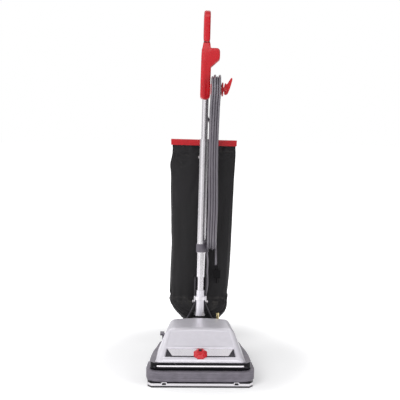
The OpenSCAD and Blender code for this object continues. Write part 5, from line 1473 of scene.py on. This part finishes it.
# ---------------------------------------------------------------- stage
class StageSettings(bpy.types.PropertyGroup):
    """Camera and light of the studio."""

    distance: bpy.props.FloatProperty(
        name="Distance", description="Distance of the camera in front of the machine", default=3.337,
        unit="LENGTH",
    )
    height: bpy.props.FloatProperty(
        name="Height", description="Height of the camera", default=1.18, unit="LENGTH"
    )
    pitch: bpy.props.FloatProperty(
        name="Pitch", description="Angle that the camera looks down", default=math.radians(10.5),
        subtype="ANGLE",
    )
    yaw: bpy.props.FloatProperty(
        name="Yaw", description="Angle that the camera stands to the right", default=math.radians(-1.0),
        subtype="ANGLE",
    )
    roll: bpy.props.FloatProperty(
        name="Roll", description="Turn of the camera about its own axis", default=math.radians(0.65),
        subtype="ANGLE",
    )
    aside: bpy.props.FloatProperty(
        name="Aside", description="Distance that the camera stands to the side of its aim", default=-3 * MM,
        unit="LENGTH",
    )
    lens: bpy.props.FloatProperty(name="Lens", description="Focal length in millimetres", default=91.08)
    key: bpy.props.FloatProperty(name="Key", description="Power of the main lamp in watts", default=42.0)
    fill: bpy.props.FloatProperty(name="Fill", description="Power of each side lamp in watts", default=16.0)
    sky: bpy.props.FloatProperty(
        name="Sky", description="Strength of the light from all round", default=0.45
    )
    floor: bpy.props.FloatVectorProperty(
        name="Floor", description="Colour of the floor", default=(0.86, 0.86, 0.87), subtype="COLOR"
    )


def area_lamp(name, place, aim, size, power):
    """Soft box at a place, turned to face a point. It lights surfaces but isn't seen in reflections, which
    show the studio of white_world instead."""
    lamp = bpy.data.lights.new(name, "AREA")
    lamp.shape = "RECTANGLE"
    lamp.size, lamp.size_y = size
    lamp.energy = power
    obj = bpy.data.objects.new(name, lamp)
    obj.location = place
    obj.visible_glossy = False
    obj.rotation_euler = look_along(np.asarray(aim, float) - np.asarray(place, float))
    bpy.context.scene.collection.objects.link(obj)


def look_along(way):
    """Euler angles that point -Z along a direction."""
    flat = math.hypot(way[0], way[1])
    return (math.atan2(flat, -way[2]), 0.0, math.atan2(-way[0], way[1]))


class VACUUM_OT_stage(bpy.types.Operator):
    """Camera, soft boxes, pale floor and white background"""

    bl_idname = "vacuum.stage"
    bl_label = "Stage"

    def execute(self, context):
        values = context.scene.vacuum_stage
        camera = bpy.data.cameras.new("camera")
        camera.lens = values.lens
        camera.sensor_width = 36.0
        view = bpy.data.objects.new("camera", camera)
        side, ahead = math.sin(values.yaw), math.cos(values.yaw)
        view.location = (
            values.distance * side + values.aside * ahead,
            values.aside * side - values.distance * ahead,
            values.height,
        )
        view.rotation_mode = "XYZ"
        view.rotation_euler = (math.pi / 2 - values.pitch, 0.0, values.yaw)
        context.scene.collection.objects.link(view)
        context.view_layer.update()
        view.rotation_euler.rotate_axis("Z", values.roll)
        context.scene.camera = view
        middle = (0.0, 0.0, 0.5)
        area_lamp("key", (-1.4, -2.2, 2.3), middle, (1.6, 1.6), values.key)
        area_lamp("fill_left", (-2.2, 0.4, 1.2), middle, (1.0, 2.0), values.fill)
        area_lamp("fill_right", (2.0, -1.6, 1.4), middle, (0.8, 2.0), values.fill)
        floor = floor_object(values.floor)
        white_world(values.sky)
        context.scene.view_settings.view_transform = "Standard"
        return {"FINISHED"}


def floor_object(colour):
    """Round floor 12 m across, whose own light is added for rays from the camera so that it reads white.
    The added light is less close to the machine, where the floor takes its shadow."""
    turn = around(96)
    ring = 6 * np.stack([np.cos(turn), np.sin(turn), 0 * turn], -1)
    mesh = bpy.data.meshes.new("floor")
    mesh.from_pydata(ring.tolist(), [], [list(range(len(ring)))])
    material = bpy.data.materials.new("floor_paper")
    material.use_nodes = True
    tree = material.node_tree
    tree.nodes.clear()
    place = object_coordinates(tree)
    tint = mix_colour(tree, noise(tree, place, 3.0, 2.0), toned(colour, 1.0), toned(colour, 0.985))
    matt = put(tree, "ShaderNodeBsdfDiffuse", {0: tint}).outputs[0]
    path = put(tree, "ShaderNodeLightPath").outputs
    seen = maths(tree, "MAXIMUM", path["Is Camera Ray"], path["Is Glossy Ray"])
    far = put(tree, "ShaderNodeVectorMath", {0: place}, operation="LENGTH").outputs["Value"]
    lift = mix_value(tree, ramp_between(tree, far, 0.3, 0.62), 0.27, 0.9)
    glow = put(tree, "ShaderNodeEmission", {0: WHITE, 1: maths(tree, "MULTIPLY", seen, lift)}).outputs[0]
    both = put(tree, "ShaderNodeAddShader", {0: matt, 1: glow}).outputs[0]
    put(tree, "ShaderNodeOutputMaterial", {0: both})
    mesh.materials.append(material)
    return add_object("floor", mesh)


# Strengths of the studio that reflections see: its room, soft boxes, left side and top, and what its dark
# places on the right, behind, and behind on the right take away
ROOM, BOXES, LEFT, TOP = 0.62, 1.5, 0.6, 0.25
DARK_RIGHT, DARK_BACK, DARK_CORNER = 0.5, 0.2, 0.4
DARKEST = 0.06


def white_world(sky):
    """Plain pale world that the camera sees as white. Reflections see a studio: soft boxes high in front
    and behind, a paler left side, and a dark wall low on the right."""
    world = bpy.data.worlds.new("studio")
    world.use_nodes = True
    tree = world.node_tree
    tree.nodes.clear()
    direction = put(tree, "ShaderNodeTexCoord").outputs["Generated"]
    x, y, z = put(tree, "ShaderNodeSeparateXYZ", {0: direction}).outputs

    def product(*values):
        result = values[0]
        for value in values[1:]:
            result = maths(tree, "MULTIPLY", result, value)
        return result

    def total(*values):
        result = values[0]
        for value in values[1:]:
            result = maths(tree, "ADD", result, value)
        return result

    def less(a, b):
        return maths(tree, "SUBTRACT", a, b)

    def ramp(value, low, high):
        return ramp_between(tree, value, low, high)

    low, top = less(1.0, ramp(z, 0.35, 0.65)), ramp(z, 0.8, 0.9)
    behind = product(ramp(y, 0.0, 0.4), low)
    # Soft boxes at mid height ahead and behind, weaker to the sides of what is behind
    astern = product(ramp(y, 0.0, 0.3), ramp(maths(tree, "ABSOLUTE", x), 0.2, 0.45), 0.8)
    boxes = product(ramp(maths(tree, "ABSOLUTE", y), 0.38, 0.55), ramp(z, 0.25, 0.45), less(1.0, top))
    boxes = product(boxes, less(1.0, astern))
    leftward = product(x, -1.0)
    left = product(ramp(leftward, 0.4, 0.6), ramp(leftward, 0.97, 0.85))
    shade = total(
        product(ramp(x, 0.45, 0.8), low, DARK_RIGHT), product(behind, DARK_BACK),
        product(behind, ramp(x, 0.06, 0.2), DARK_CORNER),
    )
    glow = total(product(boxes, BOXES), product(left, LEFT), product(top, TOP), ROOM)
    studio = maths(tree, "MAXIMUM", less(glow, shade), DARKEST)
    path = put(tree, "ShaderNodeLightPath").outputs
    seen = maths(tree, "MAXIMUM", path["Is Camera Ray"], path["Is Transmission Ray"])
    strength = mix_value(tree, path["Is Glossy Ray"], mix_value(tree, seen, sky, 1.0), studio)
    light = put(tree, "ShaderNodeBackground", {0: WHITE, 1: strength}).outputs[0]
    put(tree, "ShaderNodeOutputWorld", {0: light})
    bpy.context.scene.world = world


# ---------------------------------------------------------------- frame nodes
# Nodes whose finish differs from that of their material slot
OWN_FINISH = {
    "handle_bail": "bail_paint",
    "plug": "plug_rubber",
    "release_pedal": "housing_paint",
    # The sole plate's finish paints shade above and below its bright band
    "sole_plate": "sole_steel_and_painted_shade",
}


class VACUUM_OT_finish_nodes(bpy.types.Operator):
    """Paint, metal, plastic and rubber on every piece of the frame that shows as it is"""

    bl_idname = "vacuum.finish_nodes"
    bl_label = "Frame finishes"

    def execute(self, context):
        for part in frame["record"]["subparts"]:
            data = NODES[part["node"]].data
            data.materials.clear()
            data.materials.append(MATERIALS[OWN_FINISH.get(part["node"], part["material_slot"])])
        return {"FINISHED"}


STEPS = ("stage", "cords", "hood", "front", "handle", "bag", "finish_nodes")
SETTINGS = {
    "vacuum_stage": StageSettings,
    "vacuum_cords": CordSettings,
    "vacuum_hood": HoodSettings,
    "vacuum_front": FrontSettings,
    "vacuum_handle": HandleSettings,
    "vacuum_bag": BagSettings,
}


class VACUUM_PT_panel(bpy.types.Panel):
    """Lists the steps and their sizes"""

    bl_label = "Vacuum cleaner"
    bl_idname = "VACUUM_PT_panel"
    bl_space_type = "VIEW_3D"
    bl_region_type = "UI"
    bl_category = "Vacuum"

    def draw(self, context):
        for step in STEPS:
            self.layout.operator("vacuum." + step)
        for label in SETTINGS:
            group = getattr(context.scene, label)
            for name in group.bl_rna.properties.keys():
                if name not in ("rna_type", "name"):
                    self.layout.prop(group, name)


CLASSES = (
    *SETTINGS.values(), VACUUM_OT_stage, VACUUM_OT_cords, VACUUM_OT_hood, VACUUM_OT_front, VACUUM_OT_handle,
    VACUUM_OT_bag, VACUUM_OT_finish_nodes, VACUUM_PT_panel,
)


def register():
    for cls in CLASSES:
        bpy.utils.register_class(cls)
    for label, group in SETTINGS.items():
        setattr(bpy.types.Scene, label, bpy.props.PointerProperty(type=group))


def unregister():
    for label in SETTINGS:
        delattr(bpy.types.Scene, label)
    for cls in reversed(CLASSES):
        bpy.utils.unregister_class(cls)


def main():
    register()
    make_groups()
    make_materials()
    for step in STEPS:
        getattr(bpy.ops.vacuum, step)()


if __name__ == "__main__":
    main()
